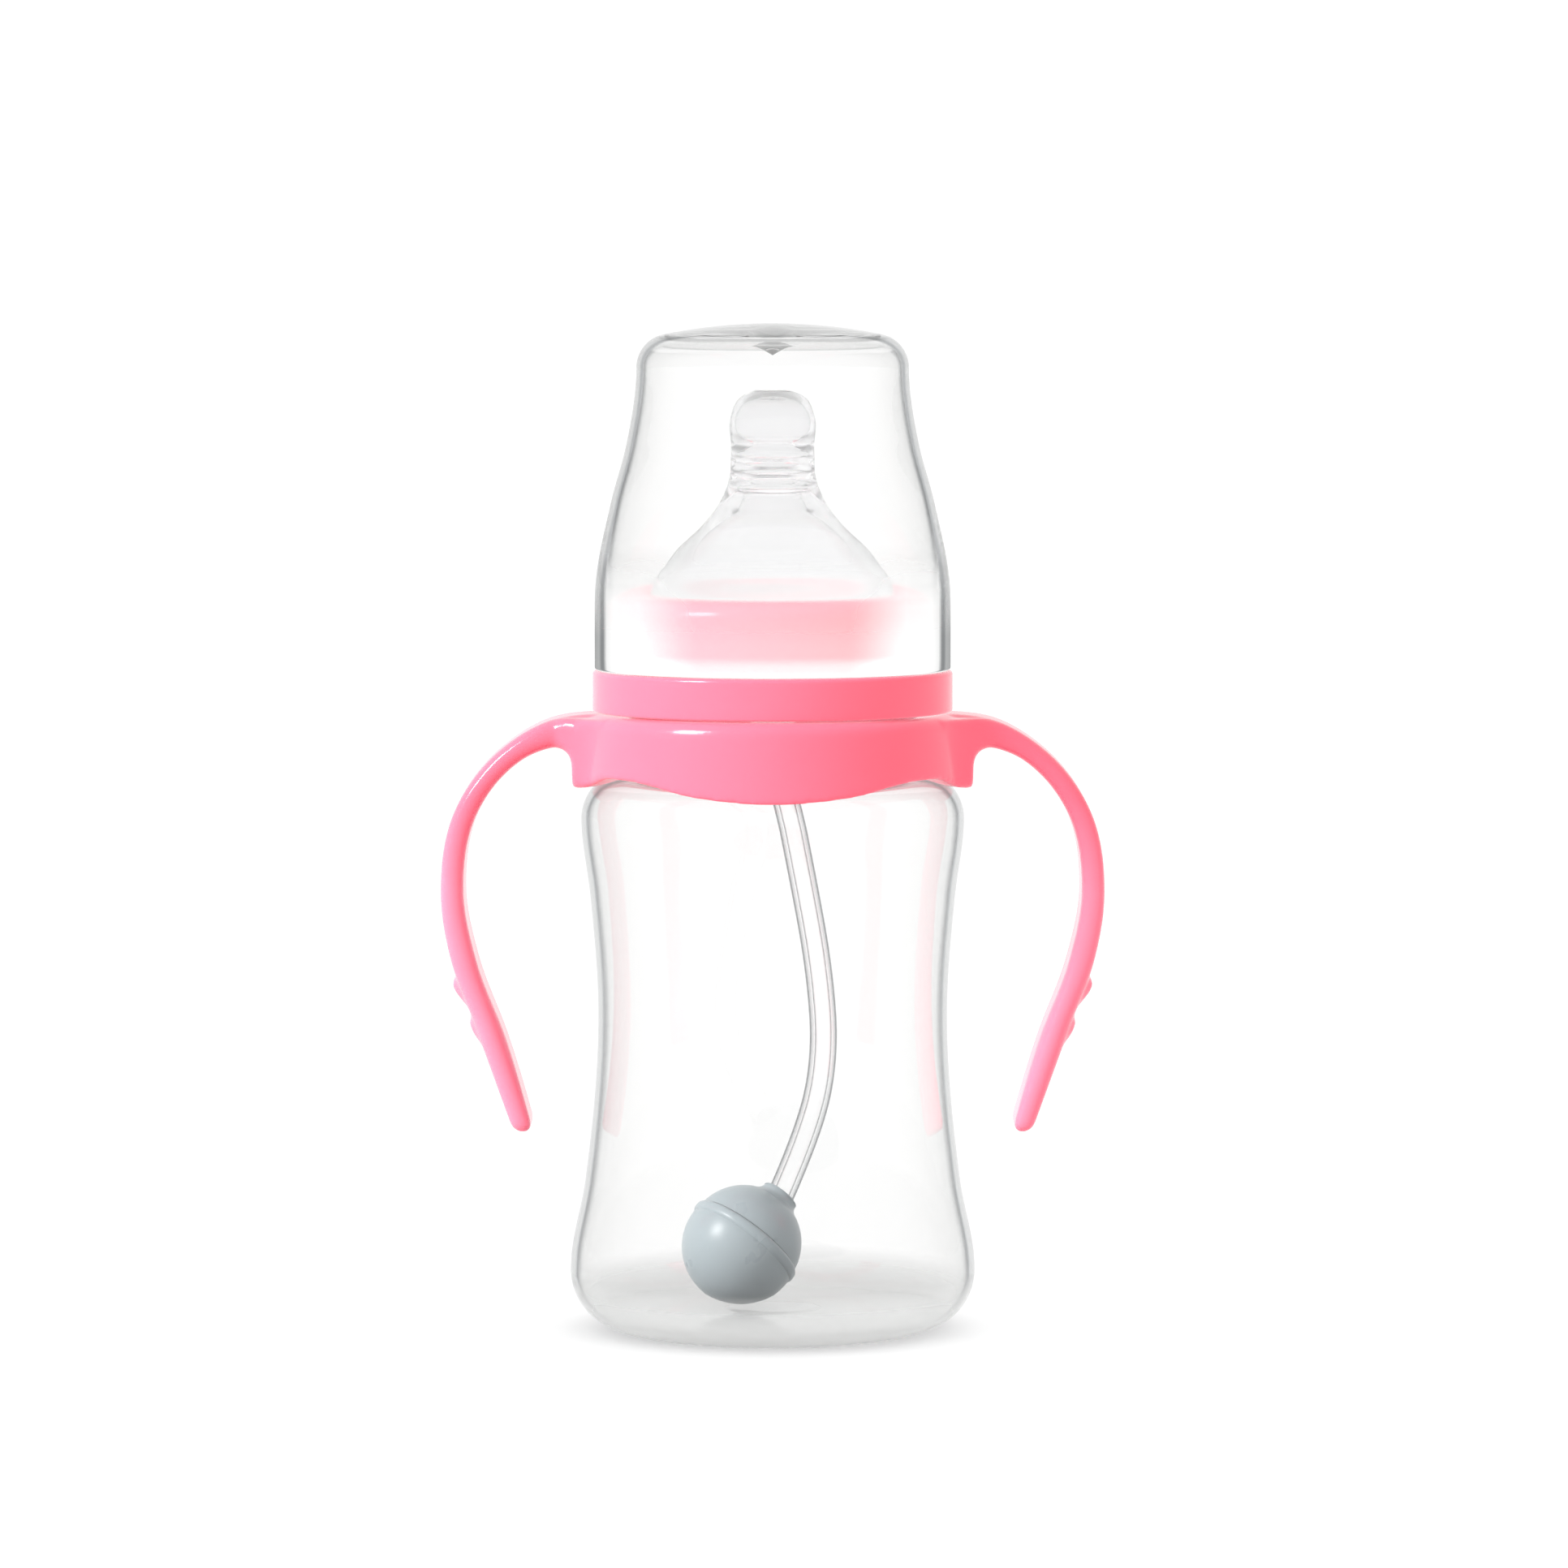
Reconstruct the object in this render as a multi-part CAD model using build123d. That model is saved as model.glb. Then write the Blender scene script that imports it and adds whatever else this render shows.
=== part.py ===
from build123d import *

import math
import os

# A wide-neck feeding bottle with two handles, a domed cap and a weighted straw.
# The origin is the centre of the foot on the surface that the bottle stands on, +Z is up,
# the two handle arms lie along X, and the front is -Y. Everything is in millimetres.

# ---------------------------------------------------------------- bottle body
FOOT_RADIUS = 24.1          # outer edge of the foot's flat ring
FOOT_RING_WIDTH = 3.5
FOOT_RECESS = 1.0           # hollow under the base, inside the foot ring
BASE_RADIUS = 34.1          # widest place, low on the body
BASE_CORNER = 10.0          # rounding from the foot up to the widest place
BODY_SIDE = ((31.6, 25.3), (29.4, 55.0), (30.7, 73.2))     # (radius, height) down to the waist and up again
SHOULDER_RADIUS = 32.2
SHOULDER_HEIGHT = 86.2
SHOULDER_CORNER = 8.0
WALL = 1.05
FLOOR_HEIGHT = 3.0          # inside of the base
FLOOR_BOSS_RADIUS = 7.6     # low round boss in the middle of the floor
FLOOR_BOSS_HEIGHT = 0.3
FLOOR_FILLET = 2.5          # between the floor and the inside of the corner

NECK_RADIUS = SHOULDER_RADIUS - SHOULDER_CORNER
NECK_BORE = 22.4
LIP_HEIGHT = 118.5          # top of the neck
LIP_ROUNDING = 0.6

# ---------------------------------------------------------------- screw thread
THREAD_PITCH = 4.0
THREAD_TURNS = 1.5
THREAD_ROOT_HALF_WIDTH = 0.8
THREAD_CREST_HALF_WIDTH = 0.45
THREAD_BURIED = 0.3         # how far a ridge reaches into its wall
NECK_CREST = 25.35
NECK_THREAD_START = 108.0
COLLAR_BORE = 25.75
COLLAR_CREST = 24.6
COLLAR_THREAD_START = NECK_THREAD_START - THREAD_PITCH / 2

# ---------------------------------------------------------------- screw collar
BAND_RADIUS = 30.2          # the band that is gripped
BAND_BOTTOM = 104.2
BAND_TOP = 111.1            # ledge that the cap's rim sits on
BAND_ROUNDING = 0.6
DRUM_RADIUS = 27.3          # the cap slides over this
DRUM_CORNER = 3.0
COLLAR_TOP = 123.6
COLLAR_OPENING = 20.95
PLATE_UNDERSIDE = 121.85
PLATE_CORNER = 1.15         # bevel between the bore and the top plate

# ---------------------------------------------------------------- nipple
FLANGE_RADIUS = 24.4
FLANGE_BOTTOM = 120.0
FLANGE_TOP = 121.8
NIPPLE_BASE_RADIUS = 20.5
NIPPLE_BASE_BORE = 18.8
NIPPLE_DOME = ((16.5, 130.3), (11.6, 135.2))                        # (radius, height) outside
NIPPLE_DOME_INSIDE = ((6.6, 137.4), (10.2, 133.8), (15.0, 128.8))   # from the neck outwards
NIPPLE_NECK_RADIUS = 7.0
NIPPLE_NECK_BORE = 5.0
NIPPLE_NECK_BOTTOM = 141.0
NIPPLE_BORE_BOTTOM = 138.6
NIPPLE_NECK_TOP = 149.0
BULB_RADIUS = 7.2
BULB_HEIGHT = 152.6         # centre of the bulb
BULB_WALL = 0.8
BULB_SHOULDER = (5.4, 156.8)
BULB_SHOULDER_INSIDE = (4.8, 156.1)
NIPPLE_TOP = 158.0
TIP_RADIUS = 2.6            # flat round the feed hole
TIP_RADIUS_INSIDE = 2.4
FEED_HOLE_RADIUS = 0.5

# ---------------------------------------------------------------- straw disc
DISC_RADIUS = 24.1
DISC_BOTTOM = 118.55
DISC_TOP = 119.95
RIM_RADIUS = 22.0           # ring under the disc that centres it in the neck
RIM_WALL = 1.2
RIM_BOTTOM = 116.5
SOCKET_RADIUS = 3.6
SOCKET_BORE = 2.4
SOCKET_BOTTOM = 105.0
SOCKET_DEPTH = 8.0
FLOW_BORE = 1.4

# ---------------------------------------------------------------- straw
STRAW_RADIUS = 2.3
STRAW_BORE = 1.4
STRAW_ROUTE = (
    (0.0, 0.0, 104.0),
    (1.4, 0.0, 94.0),
    (4.9, 0.4, 77.0),
    (7.9, 1.1, 60.5),
    (8.9, 1.8, 46.0),
    (6.2, 2.0, 33.0),
    (0.6, 1.1, 20.6),
)
ARC_SHARE = 0.45            # part of the shorter run that a corner's arc takes

# ---------------------------------------------------------------- weighted ball
BALL_CENTRE = (-5.4, -2.5, 14.0)
BALL_AXIS = (0.59, 0.34, 0.73)      # from the ball's centre towards its neck
LOWER_BALL_RADIUS = 9.9
UPPER_BALL_RADIUS = 9.72
UPPER_BALL_RISE = 0.9       # its centre is this much further along the axis
SEAM_HEIGHT = 2.1           # along the ball's axis, from its centre
BALL_RIM_RADIUS = 10.25
BALL_RIM_HEIGHT = 1.4
BALL_RIM_ROUNDING = 0.45
BALL_NECK_RADIUS = 3.1
BALL_NECK_FOOT_RADIUS = 4.6
BALL_NECK_TOP = 11.6
BALL_NECK_SUNK = 2.0        # how far the neck reaches into the ball
STRAW_FIT = 0.05            # radial room round the straw in the ball's neck
STRAW_SOCKET_LENGTH = 12.0  # bored from the straw's end out past the neck
POCKET_RADIUS = 6.55
POCKET_BOTTOM = -4.5
POCKET_TOP = 4.0
WEIGHT_PLAY = 0.05
WEIGHT_BORE = 2.5
INTAKE_RADIUS = 1.6
INTAKE_ANGLE = 40.0         # between the intake and the ball's axis, in degrees

# ---------------------------------------------------------------- handle ring
RING_TOP = 104.0
RING_BORE = 25.75
RING_TOP_RADIUS = 27.6
RING_CORNER = 4.2
RING_WAIST_RADIUS = RING_TOP_RADIUS + RING_CORNER
RING_FOOT_RADIUS = 32.7
RING_FOOT = 89.5            # before the wavy lower edge is cut
RING_CLEARANCE = 0.35       # above the bottle's shoulder
CUT_MARGIN = 2.0            # how far a cutting shape reaches past what it cuts
RING_EDGE = (               # (x, z) of the wavy lower edge, from the middle to an arm
    (0.0, 90.6),
    (13.0, 91.6),
    (24.5, 93.8),
    (27.6, 93.7),
    (31.0, 91.9),
    (36.0, 91.8),
)
ARM_WIDTH = 15.0            # along Y
ARM_ROUNDING = 1.0
ARM_ROOT_X = 26.5           # inside the ring's wall
ARM_TOP_X = 29.8            # where the line of its outside starts, level with the ring's top
EAR_X = 33.5
EAR_BOTTOM = 91.8
EAR_TOP = 94.8              # where the ear's outer face runs into the armpit
ARM_OUTSIDE = (             # (x, z) down the outside of an arm
    (37.3, 102.5),
    (44.7, 98.7),
    (50.2, 93.0),
    (53.4, 87.3),
    (55.6, 74.0),
    (53.9, 62.6),
    (50.3, 52.6),
    (43.6, 34.9),
)
ARM_INSIDE = (              # (x, z) up the inside of an arm
    (40.9, 35.1),
    (44.6, 49.2),
    (49.6, 62.6),
    (51.7, 74.0),
    (49.4, 87.3),
    (45.6, 93.0),
    (40.4, 96.8),
)
ARM_TIP = (41.9, 33.7)
ARMPIT = (36.3, 97.6)
GRIP_BUMPS = (              # (x, z, half length, height) of the two bumps on an arm
    (52.0, 57.0, 2.9, 0.9),
    (49.6, 50.5, 2.6, 0.7),
)
BUMP_WIDTH = 10.0
BUMP_BURIED = 1.0           # how far a bump reaches into the arm
ARM_LEAN = 20.5             # lower part of an arm from vertical, in degrees
LEAN_SLOPE = math.tan(math.radians(ARM_LEAN))

# ---------------------------------------------------------------- domed cap
CAP_RIM = 111.2
CAP_RADIUS = 29.85
CAP_STRAIGHT_TOP = 122.9
CAP_SIDE = ((27.1, 139.3), (24.5, 149.1))   # (radius, height) of the cap's tapering side
CAP_BORE = 27.75
CAP_BORE_TOP = 128.5
CAP_BORE_LEAN = -0.12       # the inside's slope just over the bore
CAP_CROWN_RADIUS = 22.85
CAP_CROWN_START = 161.7
CAP_CROWN_CORNER = 5.8
CAP_TOP = 169.2
CAP_WALL = 1.2
CAP_ROOF = 2.2
GATE_RADIUS = 3.2
GATE_TIP_RADIUS = 0.4
GATE_DEPTH = 1.6


def turned(*edges):
    """Turn a closed outline, drawn as (radius, height), about the vertical axis."""
    return revolve(Plane.XZ * make_face(list(edges)), axis=Axis.Z)


def tube(outer, inner, bottom, top):
    """A round tube on the vertical axis."""
    ring = Circle(outer) - Circle(inner)
    return Pos(0, 0, bottom) * extrude(ring, amount=top - bottom)


def thread_ridge(root, crest, start_height):
    """A right-handed helical ridge that stands on a wall of radius root."""
    path = Pos(0, 0, start_height) * Helix(THREAD_PITCH, THREAD_PITCH * THREAD_TURNS, root)
    outward = 1 if crest > root else -1
    section = Polyline(
        (-outward * THREAD_BURIED, -THREAD_ROOT_HALF_WIDTH),
        (0, -THREAD_ROOT_HALF_WIDTH),
        (crest - root, -THREAD_CREST_HALF_WIDTH),
        (crest - root, THREAD_CREST_HALF_WIDTH),
        (0, THREAD_ROOT_HALF_WIDTH),
        (-outward * THREAD_BURIED, THREAD_ROOT_HALF_WIDTH),
        close=True,
    )
    start_plane = Plane(origin=path @ 0, x_dir=(1, 0, 0), z_dir=path % 0)
    return sweep(start_plane * make_face(section), path=path, is_frenet=True)


def body_side(inset, low_radius, low_height):
    """The hourglass side, from the widest place of the base up to the shoulder."""
    return Spline(
        (low_radius, low_height),
        *[(radius - inset, height) for radius, height in BODY_SIDE],
        (SHOULDER_RADIUS - inset, SHOULDER_HEIGHT),
        tangents=[(0, 1), (0, 1)],
    )


def bottle_body():
    """Hollow hourglass bottle with a foot ring and a threaded neck."""
    foot_inner = FOOT_RADIUS - FOOT_RING_WIDTH
    inner_corner = BASE_CORNER - WALL
    fillet_reach = inner_corner - FLOOR_FILLET
    fillet_height = FLOOR_HEIGHT + FLOOR_FILLET
    lean = math.degrees(math.asin((BASE_CORNER - fillet_height) / fillet_reach))
    fillet_radius = FOOT_RADIUS + fillet_reach * math.cos(math.radians(lean))
    inner_shoulder = SHOULDER_CORNER - WALL
    shoulder_centre = (NECK_RADIUS, SHOULDER_HEIGHT)
    outside = [
        Polyline(
            (0, FOOT_RECESS),
            (foot_inner - FOOT_RECESS, FOOT_RECESS),
            (foot_inner, 0),
            (FOOT_RADIUS, 0),
        ),
        CenterArc((FOOT_RADIUS, BASE_CORNER), BASE_CORNER, -90, 90),
        body_side(0, BASE_RADIUS, BASE_CORNER),
        CenterArc(shoulder_centre, SHOULDER_CORNER, 0, 90),
        Line((NECK_RADIUS, SHOULDER_HEIGHT + SHOULDER_CORNER), (NECK_RADIUS, LIP_HEIGHT - LIP_ROUNDING)),
    ]
    lip_and_bore = Polyline(
        (NECK_RADIUS, LIP_HEIGHT - LIP_ROUNDING),
        (NECK_RADIUS - LIP_ROUNDING, LIP_HEIGHT),
        (NECK_BORE + LIP_ROUNDING, LIP_HEIGHT),
        (NECK_BORE, LIP_HEIGHT - LIP_ROUNDING),
        (NECK_BORE, SHOULDER_HEIGHT + SHOULDER_CORNER),
        (NECK_RADIUS, SHOULDER_HEIGHT + inner_shoulder),
    )
    inside = [
        CenterArc(shoulder_centre, inner_shoulder, 0, 90),
        body_side(WALL, BASE_RADIUS - WALL, BASE_CORNER),
        CenterArc((FOOT_RADIUS, BASE_CORNER), inner_corner, -lean, lean),
        CenterArc((fillet_radius, fillet_height), FLOOR_FILLET, -90, 90 - lean),
        Polyline(
            (fillet_radius, FLOOR_HEIGHT),
            (FLOOR_BOSS_RADIUS, FLOOR_HEIGHT),
            (FLOOR_BOSS_RADIUS - FLOOR_BOSS_HEIGHT, FLOOR_HEIGHT + FLOOR_BOSS_HEIGHT),
            (0, FLOOR_HEIGHT + FLOOR_BOSS_HEIGHT),
            (0, FOOT_RECESS),
        ),
    ]
    shell = turned(*outside, lip_and_bore, *inside)
    return shell + thread_ridge(NECK_RADIUS, NECK_CREST, NECK_THREAD_START)


def screw_collar():
    """Threaded collar: grip band, drum for the cap, and a top plate that holds the nipple."""
    corner_centre = (DRUM_RADIUS - DRUM_CORNER, COLLAR_TOP - DRUM_CORNER)
    shell = turned(
        Polyline(
            (COLLAR_OPENING, COLLAR_TOP),
            (COLLAR_OPENING, PLATE_UNDERSIDE),
            (COLLAR_BORE - PLATE_CORNER, PLATE_UNDERSIDE),
            (COLLAR_BORE, PLATE_UNDERSIDE - PLATE_CORNER),
            (COLLAR_BORE, BAND_BOTTOM),
            (BAND_RADIUS - BAND_ROUNDING / 2, BAND_BOTTOM),
            (BAND_RADIUS, BAND_BOTTOM + BAND_ROUNDING / 2),
            (BAND_RADIUS, BAND_TOP - BAND_ROUNDING),
        ),
        CenterArc((BAND_RADIUS - BAND_ROUNDING, BAND_TOP - BAND_ROUNDING), BAND_ROUNDING, 0, 90),
        Polyline(
            (BAND_RADIUS - BAND_ROUNDING, BAND_TOP),
            (DRUM_RADIUS, BAND_TOP),
            (DRUM_RADIUS, COLLAR_TOP - DRUM_CORNER),
        ),
        CenterArc(corner_centre, DRUM_CORNER, 0, 90),
        Line((DRUM_RADIUS - DRUM_CORNER, COLLAR_TOP), (COLLAR_OPENING, COLLAR_TOP)),
    )
    return shell + thread_ridge(COLLAR_BORE, COLLAR_CREST, COLLAR_THREAD_START)


def nipple():
    """Silicone nipple: flange, dome, neck and hollow bulb with a feed hole."""
    outside = [
        Polyline(
            (NIPPLE_BASE_BORE, FLANGE_BOTTOM),
            (FLANGE_RADIUS, FLANGE_BOTTOM),
            (FLANGE_RADIUS, FLANGE_TOP),
            (NIPPLE_BASE_RADIUS, FLANGE_TOP),
            (NIPPLE_BASE_RADIUS, COLLAR_TOP),
        ),
        Spline(
            (NIPPLE_BASE_RADIUS, COLLAR_TOP),
            *NIPPLE_DOME,
            (NIPPLE_NECK_RADIUS, NIPPLE_NECK_BOTTOM),
            tangents=[(-0.3, 1), (0, 1)],
        ),
        Line((NIPPLE_NECK_RADIUS, NIPPLE_NECK_BOTTOM), (NIPPLE_NECK_RADIUS, NIPPLE_NECK_TOP)),
        Spline(
            (NIPPLE_NECK_RADIUS, NIPPLE_NECK_TOP),
            (BULB_RADIUS, BULB_HEIGHT),
            BULB_SHOULDER,
            (TIP_RADIUS, NIPPLE_TOP),
            tangents=[(0, 1), (-1, 0)],
        ),
        Line((TIP_RADIUS, NIPPLE_TOP), (0, NIPPLE_TOP)),
    ]
    inside = [
        Line((0, NIPPLE_TOP), (0, NIPPLE_TOP - BULB_WALL)),
        Line((0, NIPPLE_TOP - BULB_WALL), (TIP_RADIUS_INSIDE, NIPPLE_TOP - BULB_WALL)),
        Spline(
            (TIP_RADIUS_INSIDE, NIPPLE_TOP - BULB_WALL),
            BULB_SHOULDER_INSIDE,
            (BULB_RADIUS - BULB_WALL, BULB_HEIGHT),
            (NIPPLE_NECK_BORE, NIPPLE_NECK_TOP),
        ),
        Line((NIPPLE_NECK_BORE, NIPPLE_NECK_TOP), (NIPPLE_NECK_BORE, NIPPLE_BORE_BOTTOM)),
        Line((NIPPLE_NECK_BORE, NIPPLE_BORE_BOTTOM), NIPPLE_DOME_INSIDE[0]),
        Spline(*NIPPLE_DOME_INSIDE, (NIPPLE_BASE_BORE, FLANGE_TOP)),
        Line((NIPPLE_BASE_BORE, FLANGE_TOP), (NIPPLE_BASE_BORE, FLANGE_BOTTOM)),
    ]
    feed_hole = Pos(0, 0, NIPPLE_TOP) * Cylinder(FEED_HOLE_RADIUS, 4 * BULB_WALL)
    return turned(*outside, *inside) - feed_hole


def straw_disc():
    """Disc that seals the nipple from the bottle, with a socket for the straw."""
    disc = tube(DISC_RADIUS, FLOW_BORE, DISC_BOTTOM, DISC_TOP)
    disc += tube(RIM_RADIUS, RIM_RADIUS - RIM_WALL, RIM_BOTTOM, DISC_BOTTOM)
    socket = tube(SOCKET_RADIUS, FLOW_BORE, SOCKET_BOTTOM, DISC_BOTTOM)
    socket -= tube(SOCKET_BORE, FLOW_BORE / 2, SOCKET_BOTTOM, SOCKET_BOTTOM + SOCKET_DEPTH)
    return disc + socket


def straw_path():
    """Straight runs joined by tangent arcs, each as large as its two runs allow."""
    points = [Vector(*point) for point in STRAW_ROUTE]
    radii = []
    for before, corner, after in zip(points, points[1:], points[2:]):
        turn = math.radians((corner - before).get_angle(after - corner))
        shorter = min((corner - before).length, (after - corner).length)
        radii.append(ARC_SHARE * shorter / math.tan(turn / 2))
    print("straw radii:", [round(radius, 1) for radius in radii])
    return FilletPolyline(*points, radius=radii)


def straw(path):
    """Silicone tube from the disc's socket into the ball's neck."""
    section = Circle(STRAW_RADIUS) - Circle(STRAW_BORE)
    start_plane = Plane(origin=path @ 0, z_dir=path % 0)
    solid = sweep(start_plane * section, path=path)
    expected = section.area * path.length
    print(f"straw length {path.length:.1f}, volume {solid.volume:.0f}, section x length {expected:.0f}")
    return solid


def ball_plane():
    """The ball's own frame: centred on the ball, with Z along its axis."""
    return Plane(origin=BALL_CENTRE, z_dir=BALL_AXIS)


def straw_socket():
    """Room for the straw's end in the ball's neck, bored along the straw's last run."""
    end = Vector(*STRAW_ROUTE[-1])
    back = (Vector(*STRAW_ROUTE[-2]) - end).normalized()
    return Plane(origin=end, z_dir=back) * extrude(Circle(STRAW_RADIUS + STRAW_FIT), amount=STRAW_SOCKET_LENGTH)


def ball_half(radius, bottom, top):
    """The slice of a sphere between two heights along the ball's axis."""
    slab = Pos(0, 0, (bottom + top) / 2) * Cylinder(2 * radius, top - bottom)
    return Sphere(radius) & slab


def weight_pocket():
    """Cylindrical hollow in the middle of the ball that holds the weight."""
    middle = (POCKET_BOTTOM + POCKET_TOP) / 2
    return Pos(0, 0, middle) * Cylinder(POCKET_RADIUS, POCKET_TOP - POCKET_BOTTOM)


def ball_upper_shell():
    """Upper half of the ball, with the neck that takes the straw."""
    half = Pos(0, 0, UPPER_BALL_RISE) * ball_half(
        UPPER_BALL_RADIUS, SEAM_HEIGHT - UPPER_BALL_RISE, UPPER_BALL_RADIUS
    )
    neck_foot = UPPER_BALL_RISE + UPPER_BALL_RADIUS - BALL_NECK_SUNK
    neck_height = BALL_NECK_TOP - neck_foot
    neck = Pos(0, 0, neck_foot + neck_height / 2) * Cone(BALL_NECK_FOOT_RADIUS, BALL_NECK_RADIUS, neck_height)
    flow_bore = Pos(0, 0, BALL_NECK_TOP / 2) * Cylinder(FLOW_BORE, BALL_NECK_TOP)
    solid = half + neck - weight_pocket() - flow_bore
    return ball_plane() * solid - straw_socket()


def ball_lower_shell():
    """Lower half of the ball, with a proud rim at the seam and the milk intake."""
    half = ball_half(LOWER_BALL_RADIUS, -LOWER_BALL_RADIUS, SEAM_HEIGHT)
    rim_middle = SEAM_HEIGHT - BALL_RIM_HEIGHT / 2
    rim = Pos(0, 0, rim_middle) * Cylinder(BALL_RIM_RADIUS, BALL_RIM_HEIGHT)
    rim = fillet(rim.edges().filter_by(GeomType.CIRCLE), BALL_RIM_ROUNDING)
    away = Vector(0, 1, 0)
    axis = Vector(*BALL_AXIS).normalized()
    sideways = (away - axis * away.dot(axis)).normalized()
    lean = math.radians(INTAKE_ANGLE)
    outward = sideways * math.sin(lean) - axis * math.cos(lean)
    start = Vector(*BALL_CENTRE) + axis * (POCKET_BOTTOM + INTAKE_RADIUS)
    intake = Plane(origin=start, z_dir=outward) * extrude(Circle(INTAKE_RADIUS), amount=LOWER_BALL_RADIUS)
    return ball_plane() * (half + rim - weight_pocket()) - intake


def ball_weight():
    """Steel ring in the ball's pocket; the milk passes through its bore."""
    ring = tube(
        POCKET_RADIUS - WEIGHT_PLAY, WEIGHT_BORE, POCKET_BOTTOM + WEIGHT_PLAY, POCKET_TOP - WEIGHT_PLAY
    )
    return ball_plane() * ring


def shoulder_clearance_height(radius):
    """Height of the handle ring's underside at a radius, just clear of the bottle's shoulder."""
    reach = SHOULDER_CORNER + RING_CLEARANCE
    return SHOULDER_HEIGHT + math.sqrt(reach**2 - (radius - NECK_RADIUS) ** 2)


def ring_underside():
    """The arc that keeps the handle ring clear of the bottle's shoulder."""
    reach = SHOULDER_CORNER + RING_CLEARANCE
    foot_radius = NECK_RADIUS + math.sqrt(reach**2 - (RING_FOOT - SHOULDER_HEIGHT) ** 2)
    middle = (RING_BORE + foot_radius) / 2
    return ThreePointArc(
        (foot_radius, RING_FOOT),
        (middle, shoulder_clearance_height(middle)),
        (RING_BORE, shoulder_clearance_height(RING_BORE)),
    )


def ring_band():
    """The band round the neck, before its lower edge is cut."""
    underside = ring_underside()
    foot_start = underside @ 0
    return turned(
        Line((RING_BORE, shoulder_clearance_height(RING_BORE)), (RING_BORE, RING_TOP)),
        Line((RING_BORE, RING_TOP), (RING_TOP_RADIUS, RING_TOP)),
        CenterArc((RING_TOP_RADIUS, RING_TOP - RING_CORNER), RING_CORNER, 0, 90),
        Line((RING_WAIST_RADIUS, RING_TOP - RING_CORNER), (RING_FOOT_RADIUS, RING_FOOT)),
        Line((RING_FOOT_RADIUS, RING_FOOT), (foot_start.X, foot_start.Y)),
        underside,
    )


def below_ring_edge():
    """Everything under the ring's wavy lower edge, which is the same at the front and back."""
    right = list(RING_EDGE)
    left = [(-x, z) for x, z in reversed(right[1:])]
    edge = Spline(*left, *right)
    far = right[-1][0]
    bottom = RING_FOOT - CUT_MARGIN
    frame = Polyline((far, right[-1][1]), (far, bottom), (-far, bottom), (-far, right[-1][1]))
    return extrude(Plane.XZ * make_face([edge, frame]), amount=far, both=True)


def room_inside_ring():
    """The neck, the thread and the shoulder, with their clearance."""
    underside = ring_underside()
    foot_start = underside @ 0
    return turned(
        Polyline(
            (RING_BORE, shoulder_clearance_height(RING_BORE)),
            (RING_BORE, RING_TOP + CUT_MARGIN),
            (0, RING_TOP + CUT_MARGIN),
            (0, RING_FOOT),
            (foot_start.X, foot_start.Y),
        ),
        underside,
    )


def arm():
    """One open-ended handle arm, on the +X side, with its ear and grip bumps."""
    outline = [
        Spline((ARM_TOP_X, RING_TOP), *ARM_OUTSIDE, tangents=[(1, 0), (-LEAN_SLOPE, -1)]),
        ThreePointArc(ARM_OUTSIDE[-1], ARM_TIP, ARM_INSIDE[0]),
        Spline(*ARM_INSIDE, ARMPIT, (EAR_X, EAR_TOP), tangents=[(LEAN_SLOPE, 1), (0, -1)]),
        Polyline(
            (EAR_X, EAR_TOP),
            (EAR_X, EAR_BOTTOM),
            (ARM_ROOT_X, EAR_BOTTOM),
            (ARM_ROOT_X, RING_TOP),
            (ARM_TOP_X, RING_TOP),
        ),
    ]
    solid = extrude(Plane.XZ * make_face(outline), amount=ARM_WIDTH / 2, both=True)
    sides = solid.faces().sort_by(Axis.Y)
    rims = [edge for edge in sides[0].edges() + sides[-1].edges() if edge.center().X > EAR_X]
    solid = fillet(rims, ARM_ROUNDING)
    for x, z, half_length, height in GRIP_BUMPS:
        bump = Ellipse(height + BUMP_BURIED, half_length)
        bump = extrude(Plane.XZ * bump, amount=BUMP_WIDTH / 2, both=True)
        solid += Pos(x, 0, z) * Rot(0, ARM_LEAN, 0) * bump
    return solid


def handle_ring():
    """Ring round the neck with two arms, in one piece."""
    ring = ring_band() - below_ring_edge()
    right_arm = arm()
    left_arm = Rot(0, 0, 180) * right_arm
    return ring + right_arm + left_arm - room_inside_ring()


def crown(inset, top):
    """The cap's rounded corner and its shallow arched top, tangent to each other."""
    corner = CAP_CROWN_CORNER - inset
    corner_radius = CAP_CROWN_RADIUS - CAP_CROWN_CORNER
    drop = top - CAP_CROWN_START
    arch = (corner_radius**2 + drop**2 - corner**2) / (2 * (drop - corner))
    lean = math.asin(corner_radius / (arch - corner))
    join = (corner_radius + corner * math.sin(lean), CAP_CROWN_START + corner * math.cos(lean))
    half = (math.pi / 2 - lean) / 2
    corner_middle = (
        corner_radius + corner * math.cos(half),
        CAP_CROWN_START + corner * math.sin(half),
    )
    arch_middle = (arch * math.sin(lean / 2), top - arch * (1 - math.cos(lean / 2)))
    return [
        ThreePointArc((corner_radius + corner, CAP_CROWN_START), corner_middle, join),
        ThreePointArc(join, arch_middle, (0, top)),
    ]


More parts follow.
